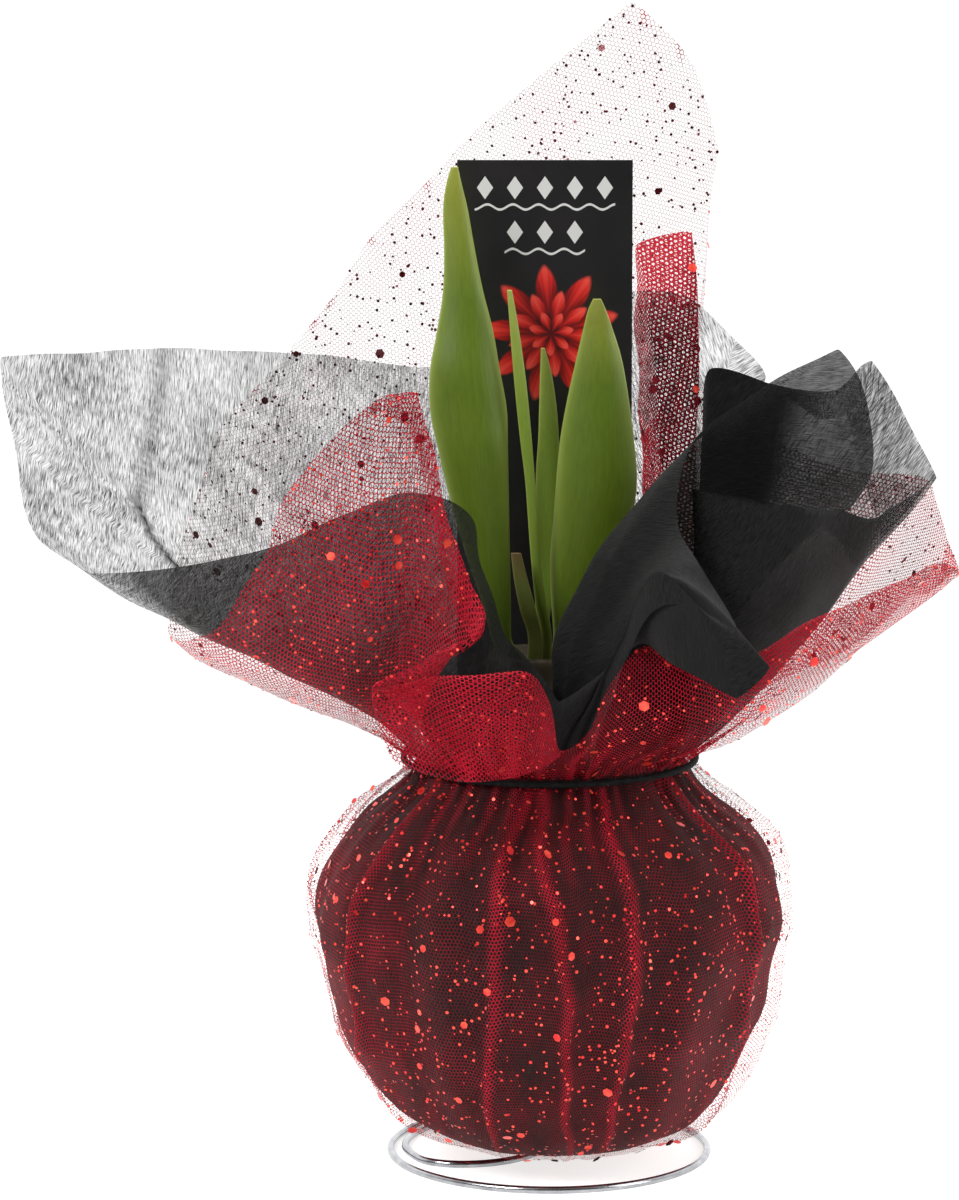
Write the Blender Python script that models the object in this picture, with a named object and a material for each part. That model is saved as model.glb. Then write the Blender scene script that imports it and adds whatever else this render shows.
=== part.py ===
"""Amaryllis bulb in a gathered gift wrap, standing on a small wire ring.

Sizes are in metres, +Z is up and the picture looks along +Y.
The wraps are each one square sheet: it starts at a small hole under the bulb,
rises as a pleated bag to the tied neck and opens there into loose folds.
"""
import bpy
import bmesh
import math
from mathutils import Vector

MM = 0.001

# Driving dimensions, in millimetres
WIRE_D = 1.8            # thickness of the stand's wire
RING_R = 37.4           # outer turn of the stand, to the middle of the wire
RISER_TOP = 24.0        # height of the wire's end inside the bulb
FLAT_CUT = 0.12         # how much of the wire's underside is flat
SHEET_T = 0.6           # thickness of each fabric sheet
NECK_Z = 95.0           # height of the tie
BLACK_NECK_R = 31.0     # black sheet inside the tie
TULLE_NECK_R = 32.4     # net sheet inside the tie
TIE_R = 34.1            # middle of the tie
TIE_D = 1.6             # thickness of the tie
HOLE_R = 3.0            # hole of both sheets around the riser
BULB_R = 45.5           # widest radius of the bulb
BULB_BASE = 4.6         # underside of the bulb
POCKET_R = 9.6          # hole of the bulb's neck, where the leaves stand
POCKET_X = -3.0         # middle of that hole
POCKET_Z = 111.0        # floor of that hole
LEAF_FOOT = 111.3       # lower ends of the leaves
CARD_W = 41.0           # width of the card
CARD_Z0 = 102.0         # foot of the card, on the bulb's shoulder
CARD_T = 0.8            # thickness of the card
CARD_Y = 20.5

# How the picture was taken: used to turn a place in it into millimetres
VIEW_D = 1250.0
VIEW_RISE = math.radians(9.3)
VIEW_F = 5375.0
VIEW_AIM = Vector((-16.4, 0.0, 132.0))
VIEW_SIZE = (959.0, 1200.0)

# Each rib of a sheet is (angle at the neck, picture place and depth of the
# handle that bends it, picture place and depth of its end on the cut edge).
BLACK_RIBS = [
    (258, (505, 720, -40), (500, 625, -25)),
    (263, (535, 733, -40), (536, 668, -31)),
    (267, (564, 738, -41), (574, 706, -37)),
    (271, (590, 700, -43), (608, 668, -42), 0.4),
    (273, (612, 640, -47), (636, 645, -50), 0.4),
    (275, (640, 585, -54), (672, 668, -61), 0.45),
    (279, (680, 545, -60), (733, 697, -66), 0.45),
    (283, (706, 545, -60), (766, 668, -64), 0.45),
    (286, (694, 555, -55), (742, 635, -60), 0.4),
    (289, (650, 575, -49), (712, 580, -52), 0.35),
    (292, (600, 590, -42), (692, 520, -44), 0.2, 20),
    (295, (590, 570, -37), (700, 440, -37), 0.15, 22),
    (299, (590, 545, -31), (765, 385, -26), 0.08, 24),
    (304, (620, 540, -24), (838, 348, -14), 0.05, 26),
    (309, (680, 540, -19), (866, 400, -9), 0.05, 26),
    (314, (720, 560, -17), (870, 470, -12), 0.05, 26),
    (318, (735, 575, -19), (852, 511, -20), 0.1, 24),
    (322, (705, 650, -29), (800, 512, -27), 0.5, 14),
    (326, (668, 680, -33), (745, 498, -31), 0.8, 12),
    (330, (652, 696, -36), (708, 492, -33), 1, 12),
    (334, (668, 704, -40), (712, 545, -37), 1.1, 12),
    (338, (710, 702, -40), (765, 585, -38), 1.1, 12),
    (342, (750, 692, -34), (818, 592, -33), 1, 12),
    (346, (780, 676, -25), (868, 562, -22), 0.9, 13),
    (350, (790, 650, -14), (888, 520, -10), 0.7, 14),
    (354, (795, 630, -5), (908, 492, 0), 0.6, 14),
    (358, (795, 610, 2.5), (930, 478, 8)),
    (363, (780, 600, 9.5), (902, 420, 13.5)),
    (368, (760, 600, 15), (876, 361, 17.5)),
    (374, (740, 610, 20.5), (835, 390, 23)),
    (380, (715, 600, 26), (768, 381, 30)),
    (386, (690, 600, 31.5), (712, 371, 35.5)),
    (392, (690, 610, 36.5), (706, 420, 41)),
    (398, (700, 590, 41), (742, 400, 45)),
    (404, (690, 580, 43), (768, 378, 47.5)),
    (411, (670, 570, 47.5), (735, 340, 54.5)),
    (418, (650, 560, 50.5), (690, 300, 58.5)),
    (426, (620, 560, 53), (640, 292, 62.5)),
    (435, (580, 560, 56), (590, 302, 65.5)),
    (445, (530, 570, 56), (530, 330, 65.5)),
    (456, (480, 590, 54.5), (470, 355, 62.5)),
    (467, (430, 610, 49), (420, 367, 57)),
    (477, (385, 625, 42), (360, 358, 50.5)),
    (486, (340, 630, 34), (300, 352, 42)),
    (494, (300, 625, 26), (235, 348, 34)),
    (501, (260, 615, 16.5), (165, 347, 24.5)),
    (507, (220, 600, 8), (90, 352, 13.5)),
    (513, (165, 575, 0), (3, 358, 2.5)),
    (519, (160, 590, -6), (7, 425, -3)),
    (525, (165, 610, -12), (18, 485, -8)),
    (531, (175, 625, -18), (40, 543, -15)),
    (537, (190, 640, -25), (88, 573, -27)),
    (544, (205, 672, -34), (150, 567, -34)),
    (552, (250, 700, -39), (215, 559, -37)),
    (560, (300, 722, -43), (280, 542, -37)),
    (569, (345, 734, -44), (340, 515, -36)),
    (579, (390, 732, -43), (400, 493, -33)),
    (589, (430, 722, -41), (446, 497, -30)),
    (598, (462, 716, -40), (473, 520, -28)),
    (608, (483, 716, -40), (483, 565, -27)),
]

TULLE_RIBS = [
    (236, (372, 668, -68), (392, 755, -64)),
    (243, (405, 652, -64), (440, 775, -61)),
    (250, (450, 645, -60), (488, 779, -58)),
    (257, (495, 645, -59), (522, 775, -57)),
    (263, (535, 675, -56), (546, 766, -55)),
    (268, (562, 738, -53), (566, 752, -54)),
    (273, (588, 752, -55), (590, 728, -55)),
    (278, (612, 752, -57), (612, 690, -55)),
    (284, (642, 756, -58), (638, 668, -54)),
    (290, (680, 758, -58), (676, 690, -53)),
    (297, (722, 760, -56), (722, 692, -51)),
    (304, (760, 756, -53), (762, 655, -51)),
    (311, (790, 745, -49), (800, 622, -47)),
    (318, (815, 725, -43), (850, 600, -40)),
    (325, (840, 705, -35), (900, 578, -31)),
    (332, (860, 685, -26), (941, 562, -20)),
    (339, (865, 675, -16), (957, 573, -9)),
    (346, (850, 670, -5), (942, 540, 2.5)),
    (353, (840, 660, 9.5), (928, 500, 16.5)),
    (360, (830, 650, 22), (915, 478, 27)),
    (367, (800, 640, 32.5), (860, 470, 39.5)),
    (374, (770, 630, 42), (800, 450, 51.5)),
    (381, (740, 620, 47.5), (740, 420, 57)),
    (388, (715, 600, 51.5), (700, 330, 62.5)),
    (395, (700, 590, 54.5), (692, 232, 68)),
    (402, (680, 590, 57), (642, 246, 68)),
    (409, (668, 600, 62.5), (655, 340, 70.5)),
    (416, (664, 610, 65.5), (674, 430, 68.5)),
    (423, (660, 590, 68), (692, 340, 76)),
    (430, (655, 550, 75), (716, 205, 90)),
    (437, (640, 520, 75), (727, 148, 90)),
    (444, (620, 500, 75), (690, 65, 90)),
    (451, (595, 490, 75), (629, 3, 90)),
    (458, (570, 490, 75), (560, 60, 88.5)),
    (465, (530, 500, 73.5), (495, 115, 87)),
    (472, (480, 520, 70.5), (430, 185, 84.5)),
    (479, (430, 540, 66.5), (365, 245, 80)),
    (486, (375, 570, 60), (318, 305, 73.5)),
    (493, (320, 600, 50.5), (280, 355, 65.5)),
    (500, (270, 625, 38), (225, 425, 51.5)),
    (507, (235, 645, 19), (183, 505, 30)),
    (514, (220, 660, 2.5), (163, 580, 7)),
    (521, (225, 675, -11), (160, 628, -10)),
    (528, (235, 690, -25), (178, 642, -26)),
    (534, (250, 708, -38), (207, 634, -39)),
    (540, (270, 728, -47), (235, 592, -46)),
    (546, (295, 745, -52), (263, 548, -50)),
    (552, (320, 755, -54), (292, 490, -51)),
    (558, (345, 760, -56), (340, 436, -50)),
    (564, (365, 757, -56), (388, 397, -47)),
    (569, (390, 745, -55), (420, 393, -41)),
    (574, (410, 735, -53), (438, 450, -38)),
    (578, (425, 728, -53), (452, 520, -39)),
    (582, (432, 718, -54), (472, 580, -41)),
    (586, (428, 706, -57), (480, 625, -46)),
    (589, (408, 700, -61), (440, 668, -54)),
    (592, (388, 692, -65), (392, 690, -65)),
    (594, (372, 680, -67), (372, 712, -67)),
]

# Outline of the bag from the hole under the bulb up to the neck: (radius, height)
BAG = [
    (HOLE_R, 3.6), (15.0, 3.8), (27.0, 6.0), (37.0, 11.5), (44.0, 21.0), (48.8, 33.0),
    (51.6, 46.0), (52.4, 59.0), (50.0, 71.0), (43.0, 82.5), (34.2, 90.5),
    (BLACK_NECK_R, NECK_Z),
]


def remove_everything():
    for thing in list(bpy.data.objects):
        bpy.data.objects.remove(thing)


def material(name, colour, roughness, metallic=0.0):
    mat = bpy.data.materials.new(name)
    mat.use_nodes = True
    shader = mat.node_tree.nodes["Principled BSDF"]
    shader.inputs["Base Color"].default_value = (*colour, 1.0)
    shader.inputs["Roughness"].default_value = roughness
    shader.inputs["Metallic"].default_value = metallic
    return mat


def keep(name, bm, mat, smooth=True):
    bmesh.ops.recalc_face_normals(bm, faces=bm.faces)
    mesh = bpy.data.meshes.new(name)
    bm.to_mesh(mesh)
    bm.free()
    for face in mesh.polygons:
        face.use_smooth = smooth
    mesh.materials.append(mat)
    obj = bpy.data.objects.new(name, mesh)
    bpy.context.collection.objects.link(obj)
    return obj


def spot(u, v, depth):
    """The point, in millimetres, seen at (u, v) of the picture at that depth."""
    ahead = Vector((0.0, math.cos(VIEW_RISE), -math.sin(VIEW_RISE)))
    upward = Vector((0.0, math.sin(VIEW_RISE), math.cos(VIEW_RISE)))
    eye = VIEW_AIM - ahead * VIEW_D
    ray = ahead + Vector(((u - VIEW_SIZE[0] / 2) / VIEW_F, 0.0, 0.0))
    ray -= upward * ((v - VIEW_SIZE[1] / 2) / VIEW_F)
    return eye + ray * ((depth - eye.y) / ray.y)


def mixed(points, position):
    """A point along a broken line of equal steps, position running 0..1."""
    place = min(max(position, 0.0), 1.0) * (len(points) - 1)
    i = min(int(place), len(points) - 2)
    f = place - i
    return [p * (1 - f) + q * f for p, q in zip(points[i], points[i + 1])]


def bag_point(angle, s, neck_r, off, lift):
    """A place on the pleated bag: off pushes it out, lift lowers its floor."""
    r, z = mixed(BAG, s)
    swell = math.sin(math.pi * min(1.0, s * 1.02)) ** 0.7
    pleat = 0.6 * math.cos(11 * angle + 0.7) + 0.4 * math.cos(7 * angle + 2.1)
    r += (1.1 * pleat * swell) * min(1.0, s * 2.0)
    r += off * min(1.0, s * 3.0) * min(1.0, (1.0 - s) * 6.0)
    r += (neck_r - BLACK_NECK_R) * s ** 4
    z -= lift * max(0.0, 1.0 - s) ** 2
    return Vector((r * math.cos(angle), r * math.sin(angle), z))


def flare_point(angle, t, neck_r, spread, most, handle, end):
    """A place on a rib above the neck, t running from the tie to the cut edge."""
    out = Vector((math.cos(angle), math.sin(angle), 0.0))
    start = out * neck_r + Vector((0.0, 0.0, NECK_Z))
    reach = min(most, 0.25 * (end - start).length)
    first = start + (out * spread + Vector((0.0, 0.0, 0.9))) * reach
    a, b, c, d = (1 - t) ** 3, 3 * t * (1 - t) ** 2, 3 * t * t * (1 - t), t ** 3
    return start * a + first * b + handle * c + end * d


def build_sheet(name, ribs, neck_r, spread, off, lift, bag_rows, flare_rows, mat):
    count = len(ribs)
    rows = bag_rows + flare_rows
    angles = [math.radians(rib[0]) for rib in ribs]
    handles = [spot(*rib[1]) for rib in ribs]
    ends = [spot(*rib[2]) for rib in ribs]
    spreads = [rib[3] if len(rib) > 3 else spread for rib in ribs]
    reaches = [rib[4] if len(rib) > 4 else 16.0 for rib in ribs]
    bm = bmesh.new()
    bmesh.ops.create_grid(bm, x_segments=count, y_segments=rows, size=0.5)
    for vert in bm.verts:
        i = round((vert.co.x + 0.5) * count) % count
        j = round((vert.co.y + 0.5) * rows)
        if j <= bag_rows:
            place = bag_point(angles[i], j / bag_rows, neck_r, off, lift)
        else:
            t = (j - bag_rows) / flare_rows
            place = flare_point(
                angles[i], t, neck_r, spreads[i], reaches[i], handles[i], ends[i])
        vert.co = place * MM
    bmesh.ops.remove_doubles(bm, verts=bm.verts, dist=0.00001)
    bmesh.ops.triangulate(bm, faces=bm.faces)
    obj = keep(name, bm, mat)
    shell = obj.modifiers.new("thickness", "SOLIDIFY")
    shell.thickness = SHEET_T * MM
    shell.offset = 0.0
    return obj


def weld_tube(bm, around, along, place):
    """A grid rolled into a tube: place(i, j) gives each corner in millimetres."""
    bmesh.ops.create_grid(bm, x_segments=around, y_segments=along, size=0.5)
    for vert in bm.verts:
        i = round((vert.co.x + 0.5) * around) % around
        j = round((vert.co.y + 0.5) * along)
        vert.co = place(i, j) * MM
    bmesh.ops.remove_doubles(bm, verts=bm.verts, dist=0.00001)
    ends = [edge for edge in bm.edges if edge.is_boundary]
    bmesh.ops.holes_fill(bm, edges=ends, sides=0)
    bmesh.ops.triangulate(bm, faces=bm.faces)


def build_bulb(mat):
    """The bulb, with a plain hole for the wire below and one for the leaves above."""
    outline = [
        (0.0, RISER_TOP + 1.0), (1.4, RISER_TOP + 0.6), (1.4, BULB_BASE),
        (17.0, BULB_BASE + 0.4), (27.0, 9.0), (36.5, 17.0), (42.5, 28.0),
        (BULB_R, 42.0), (BULB_R, 54.0), (42.0, 67.0), (35.5, 80.0), (28.0, 91.0),
        (20.5, 101.0), (15.0, 108.0), (12.6, 114.0), (11.6, 118.6), (10.9, 119.8),
        (POCKET_R, 119.6), (POCKET_R, POCKET_Z), (0.0, POCKET_Z),
    ]
    bm = bmesh.new()
    corners = [bm.verts.new((r * MM, 0.0, z * MM)) for r, z in outline]
    edges = [bm.edges.new(pair) for pair in zip(corners, corners[1:])]
    bmesh.ops.spin(
        bm, geom=corners + edges, axis=(0, 0, 1), cent=(0, 0, 0),
        angle=2 * math.pi, steps=36, use_merge=True)
    bmesh.ops.remove_doubles(bm, verts=bm.verts, dist=0.00001)
    for vert in bm.verts:
        lean = max(0.0, (vert.co.z / MM - 60.0) / 50.0)
        vert.co.x += POCKET_X * MM * min(1.0, lean)
    return keep("bulb", bm, mat)


def crescent(width, thick, cup, count):
    """Corners (across, towards the camera) of a leaf's section, edges kept blunt."""
    outer = []
    inner = []
    for k in range(count):
        f = -1.0 + 2.0 * k / (count - 1)
        half = 0.5 * max(0.7, thick * math.sqrt(max(0.0, 1 - f * f)))
        rise = cup * (1 - f * f)
        outer.append((0.5 * width * f, rise + half))
        inner.append((0.5 * width * f, rise - half))
    return outer + inner[::-1]


def build_leaf(name, stations, turn, thick, cup, mat, count=6):
    """A blade through stations of (middle x, y, z, width), from its base to its tip."""
    a = math.radians(turn)
    across = Vector((math.cos(a), math.sin(a), 0.0))
    front = Vector((math.sin(a), -math.cos(a), 0.0))

    def place(i, j):
        x, y, z, width = stations[j]
        body = min(thick, 0.8 + 0.22 * width)
        section = crescent(width, body, cup * (width / 18.0) ** 2, count)
        return Vector((x, y, z)) + across * section[i][0] + front * section[i][1]

    bm = bmesh.new()
    weld_tube(bm, 2 * count, len(stations) - 1, place)
    return keep(name, bm, mat)


def seen_leaf(rows, base):
    """Stations from (v, left u, right u, depth) read off the picture, above a base."""
    stations = list(base)
    for v, left, right, depth in rows:
        a = spot(left, v, depth)
        b = spot(right, v, depth)
        stations.append((0.5 * (a.x + b.x), depth, a.z, b.x - a.x))
    return stations


def build_leaves(green, young, pale):
    broad_left = seen_leaf([
        (640, 492, 512, -1), (600, 481, 511, -1), (555, 466, 510, -1), (500, 450, 509, -1),
        (450, 438, 508, -1), (410, 430, 507, 0), (370, 430, 500, 0), (330, 437, 493, 1),
        (290, 443, 483, 2), (250, 444, 475, 3), (210, 443, 468, 4), (185, 446, 462, 4),
        (167, 451, 458, 4),
    ], [(-8.6, -0.5, LEAF_FOOT, 4.6), (-9.0, -0.5, 118.5, 5.4)])
    broad_right = seen_leaf([
        (640, 553, 582, 1), (600, 551, 606, 1), (560, 550, 622, 1), (520, 553, 632, 1),
        (480, 556, 637, 1), (440, 560, 634, 1), (400, 567, 629, 1), (360, 576, 622, 1),
        (330, 583, 613, 1), (310, 588, 606, 0), (299, 593, 601, -1),
    ], [(2.0, 1.0, LEAF_FOOT, 5.6), (2.2, 1.0, 118.5, 6.2)])
    thin_front = seen_leaf([
        (640, 541, 552, -3), (600, 535, 546, -4), (560, 531, 540, -4), (520, 528, 538, -4),
        (480, 525, 535, -4), (430, 519, 531, -4), (380, 514, 526, -4), (330, 510, 519, -4),
        (290, 507, 512, -4),
    ], [(-1.8, -3.0, LEAF_FOOT, 3.0)])
    thin_back = seen_leaf([
        (640, 536, 548, 5), (600, 535, 552, 6), (560, 535, 557, 7), (510, 535, 560, 7),
        (470, 536, 560, 7), (440, 538, 559, 7), (410, 539, 557, 7), (375, 540, 552, 7),
        (348, 541, 545, 7),
    ], [(-2.0, 5.0, LEAF_FOOT, 4.0)])
    sheath = seen_leaf([
        (640, 528, 542, -6.0), (610, 520, 536, -8), (580, 514, 528, -8.6), (553, 511, 521, -8.8),
    ], [(-4.0, -5.6, LEAF_FOOT, 4.4)])
    build_leaf("leaf_broad_left", broad_left, 0, 2.6, 2.4, green)
    build_leaf("leaf_broad_right", broad_right, 0, 2.6, 2.4, green)
    build_leaf("leaf_thin_front", thin_front, 0, 1.3, 0.3, young, 4)
    build_leaf("leaf_thin_back", thin_back, 0, 1.3, 0.3, young, 4)
    build_leaf("sheath", sheath, 0, 1.0, 0.3, pale, 4)


def wire_path():
    """One turn on the floor, half a turn inside it, a run to the middle and a riser."""
    low = WIRE_D / 2 - FLAT_CUT
    path = []
    for k in range(39):
        a = math.radians(130 + 8 * k)
        path.append(Vector((RING_R * math.cos(a), RING_R * math.sin(a), low)))
    turns = [
        (442, 37.2), (450, 36.8), (458, 36.3), (466, 35.8), (474, 35.4), (482, 35.1),
        (490, 34.9), (500, 34.7), (510, 34.5), (520, 34.3), (530, 34.2), (540, 33.9), (550, 32.8),
    ]
    for angle, radius in turns:
        a = math.radians(angle)
        path.append(Vector((radius * math.cos(a), radius * math.sin(a), low)))
    for x, y in [(-29.6, -11.2), (-25.6, -14.0), (-20.6, -15.0), (-15.0, -14.2), (-9.5, -11.6), (-5.6, -8.0)]:
        path.append(Vector((x, y, low)))
    bend = 2.4
    way = Vector((0.57, 0.82, 0.0)).normalized()
    for k in range(5):
        a = math.radians(90 * k / 4)
        path.append(way * (bend * (math.sin(a) - 1)) + Vector((0, 0, low + bend * (1 - math.cos(a)))))
    path.append(Vector((0.0, 0.0, RISER_TOP)))
    return path


def build_wire(mat):
    path = wire_path()
    sides = 8

    def place(i, j):
        ahead = path[min(j + 1, len(path) - 1)] - path[max(j - 1, 0)]
        ahead.normalize()
        side = Vector((ahead.y, -ahead.x, 0.0))
        side = side.normalized() if side.length > 0.05 else Vector((0.82, -0.57, 0.0))
        lift = side.cross(ahead)
        a = 2 * math.pi * (i + 0.5) / sides
        point = path[j] + (side * math.cos(a) + lift * math.sin(a)) * (WIRE_D / 2)
        point.z = max(point.z, 0.0)
        return point

    bm = bmesh.new()
    weld_tube(bm, sides, len(path) - 1, place)
    return keep("wire_stand", bm, mat)


def build_tie(mat):
    """The elastic that gathers both sheets."""
    bm = bmesh.new()
    bmesh.ops.create_circle(bm, cap_ends=False, segments=8, radius=TIE_D / 2 * MM)
    for vert in bm.verts:
        vert.co = Vector((TIE_R * MM + vert.co.x, 0.0, NECK_Z * MM + vert.co.y))
    bmesh.ops.spin(
        bm, geom=bm.verts[:] + bm.edges[:], axis=(0, 0, 1), cent=(0, 0, 0),
        angle=2 * math.pi, steps=40, use_merge=True)
    bmesh.ops.remove_doubles(bm, verts=bm.verts, dist=0.00001)
    return keep("neck_tie", bm, mat)


def build_card(mat):
    left = spot(458, 160, CARD_Y)
    right = spot(632, 160, CARD_Y)
    middle = 0.5 * (left.x + right.x)
    size = (CARD_W * MM, CARD_T * MM, (left.z - CARD_Z0) * MM)
    bm = bmesh.new()
    bmesh.ops.create_cube(bm, size=1.0)
    bmesh.ops.scale(bm, verts=bm.verts, vec=size)
    at = (middle * MM, CARD_Y * MM, 0.5 * (left.z + CARD_Z0) * MM)
    bmesh.ops.translate(bm, verts=bm.verts, vec=at)
    return keep("card_tag", bm, mat, smooth=False)


def centre_all():
    """Put the middle of the whole thing's box over the origin."""
    bpy.context.view_layer.update()
    graph = bpy.context.evaluated_depsgraph_get()
    xs = []
    ys = []
    for obj in bpy.data.objects:
        for vert in obj.evaluated_get(graph).data.vertices:
            xs.append(vert.co.x)
            ys.append(vert.co.y)
    move = Vector((-0.5 * (min(xs) + max(xs)), -0.5 * (min(ys) + max(ys)), 0.0))
    for obj in bpy.data.objects:
        for vert in obj.data.vertices:
            vert.co += move


def main():
    remove_everything()
    black = material("black_nonwoven", (0.012, 0.012, 0.014), 0.75)
    red = material("red_tulle", (0.33, 0.01, 0.02), 0.6)
    green = material("leaf_green", (0.16, 0.27, 0.035), 0.4)
    young = material("young_leaf_green", (0.25, 0.36, 0.07), 0.45)
    pale = material("sheath_olive", (0.36, 0.38, 0.10), 0.5)
    skin = material("bulb_skin", (0.30, 0.17, 0.07), 0.6)
    chrome = material("chrome_wire", (0.55, 0.55, 0.57), 0.2, 1.0)
    elastic = material("black_elastic", (0.01, 0.01, 0.01), 0.7)
    print_black = material("card_black", (0.012, 0.012, 0.014), 0.35)
    build_sheet("nonwoven_wrap", BLACK_RIBS, BLACK_NECK_R, 0.4, 0.0, 0.0, 11, 9, black)
    build_sheet("tulle_wrap", TULLE_RIBS, TULLE_NECK_R, 0.8, 2.0, 1.1, 11, 9, red)
    build_bulb(skin)
    build_leaves(green, young, pale)
    build_wire(chrome)
    build_tie(elastic)
    build_card(print_black)
    centre_all()


main()
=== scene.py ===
import math
import bmesh
import bpy
import numpy as np
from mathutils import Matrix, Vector


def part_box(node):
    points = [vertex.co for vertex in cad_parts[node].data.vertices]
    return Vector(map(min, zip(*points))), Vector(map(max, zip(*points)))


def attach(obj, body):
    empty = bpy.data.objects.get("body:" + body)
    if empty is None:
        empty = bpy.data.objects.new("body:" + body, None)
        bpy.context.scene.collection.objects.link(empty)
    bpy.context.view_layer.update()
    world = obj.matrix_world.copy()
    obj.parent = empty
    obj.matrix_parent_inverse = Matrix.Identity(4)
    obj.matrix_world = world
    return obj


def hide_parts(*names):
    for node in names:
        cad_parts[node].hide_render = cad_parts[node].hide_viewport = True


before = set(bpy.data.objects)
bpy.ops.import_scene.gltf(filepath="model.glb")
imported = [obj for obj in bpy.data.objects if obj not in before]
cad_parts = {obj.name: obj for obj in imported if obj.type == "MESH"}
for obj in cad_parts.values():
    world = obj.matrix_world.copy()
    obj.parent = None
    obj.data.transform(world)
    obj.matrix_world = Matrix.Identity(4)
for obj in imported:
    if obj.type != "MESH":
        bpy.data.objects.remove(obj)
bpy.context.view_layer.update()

# %% [markdown]
# An amaryllis bulb stands in two gathered square sheets, a black fibre cloth
# inside and a red glitter net outside, on a thin wire ring.
# The CAD solids fix where everything is. This file draws each visible piece
# again, finer, and gives it its finish.

# %% Sizes that everything below shares
MM = 0.001
TIE_LOW, TIE_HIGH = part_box("neck_tie")
AXIS = (TIE_LOW + TIE_HIGH) / 2
AXIS_X, AXIS_Y = AXIS.x, AXIS.y
NECK_Z = 95.0
print("bulb axis at", round(AXIS_X, 4), round(AXIS_Y, 4))
rng = np.random.default_rng(7)

# %% [markdown]
# The photograph was taken from a little above with a long lens. The same
# numbers place the camera here and turn a place in the picture into a place
# in space, once its depth along +Y is chosen.

# %% Camera
VIEW_D = 1250.0
VIEW_RISE = math.radians(9.3)
VIEW_F = 5375.0
VIEW_AIM = np.array([-16.4, 0.0, 132.0])
AHEAD = np.array([0.0, math.cos(VIEW_RISE), -math.sin(VIEW_RISE)])
UPWARD = np.array([0.0, math.sin(VIEW_RISE), math.cos(VIEW_RISE)])
EYE = VIEW_AIM - AHEAD * VIEW_D


def spots(u, v, depth):
    """Points in millimetres, from the bulb's axis, seen at (u, v) at that depth."""
    u, v, depth = (np.asarray(x, float)[..., None] for x in (u, v, depth))
    ray = AHEAD + np.array([1.0, 0, 0]) * (u - 479.5) / VIEW_F - UPWARD * (v - 600) / VIEW_F
    return EYE + ray * (depth - EYE[1]) / ray[..., 1:2]


def picture(points):
    """Where points in millimetres are seen: the reverse of spots."""
    ray = points - EYE
    far = ray @ AHEAD
    return 479.5 + ray[..., 0] / far * VIEW_F, 600 - (ray @ UPWARD) / far * VIEW_F


def row_frame(points):
    """Millimetres from the bulb's axis to metres in the row frame."""
    return points * MM + np.array([AXIS_X, AXIS_Y, 0.0])


camera = bpy.data.objects.new("camera", bpy.data.cameras.new("camera"))
bpy.context.collection.objects.link(camera)
camera.data.sensor_width = 36.0
camera.data.lens = 36.0 * VIEW_F / 1200.0
camera.data.clip_start = 0.05
camera.location = row_frame(EYE)
camera.rotation_mode = "QUATERNION"
camera.rotation_quaternion = Vector(AHEAD).to_track_quat("-Z", "Y")
bpy.context.scene.camera = camera
print("camera", [round(x, 3) for x in camera.location], "lens", round(camera.data.lens, 1))

# %% [markdown]
# Each sheet is described by ribs that fan out from the tied neck. A rib has
# its angle at the neck, the picture place and depth of a handle that bends it,
# the picture place and depth of its end on the cut edge, how far it leans out
# of the tie, and how long it keeps that lean.

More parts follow.
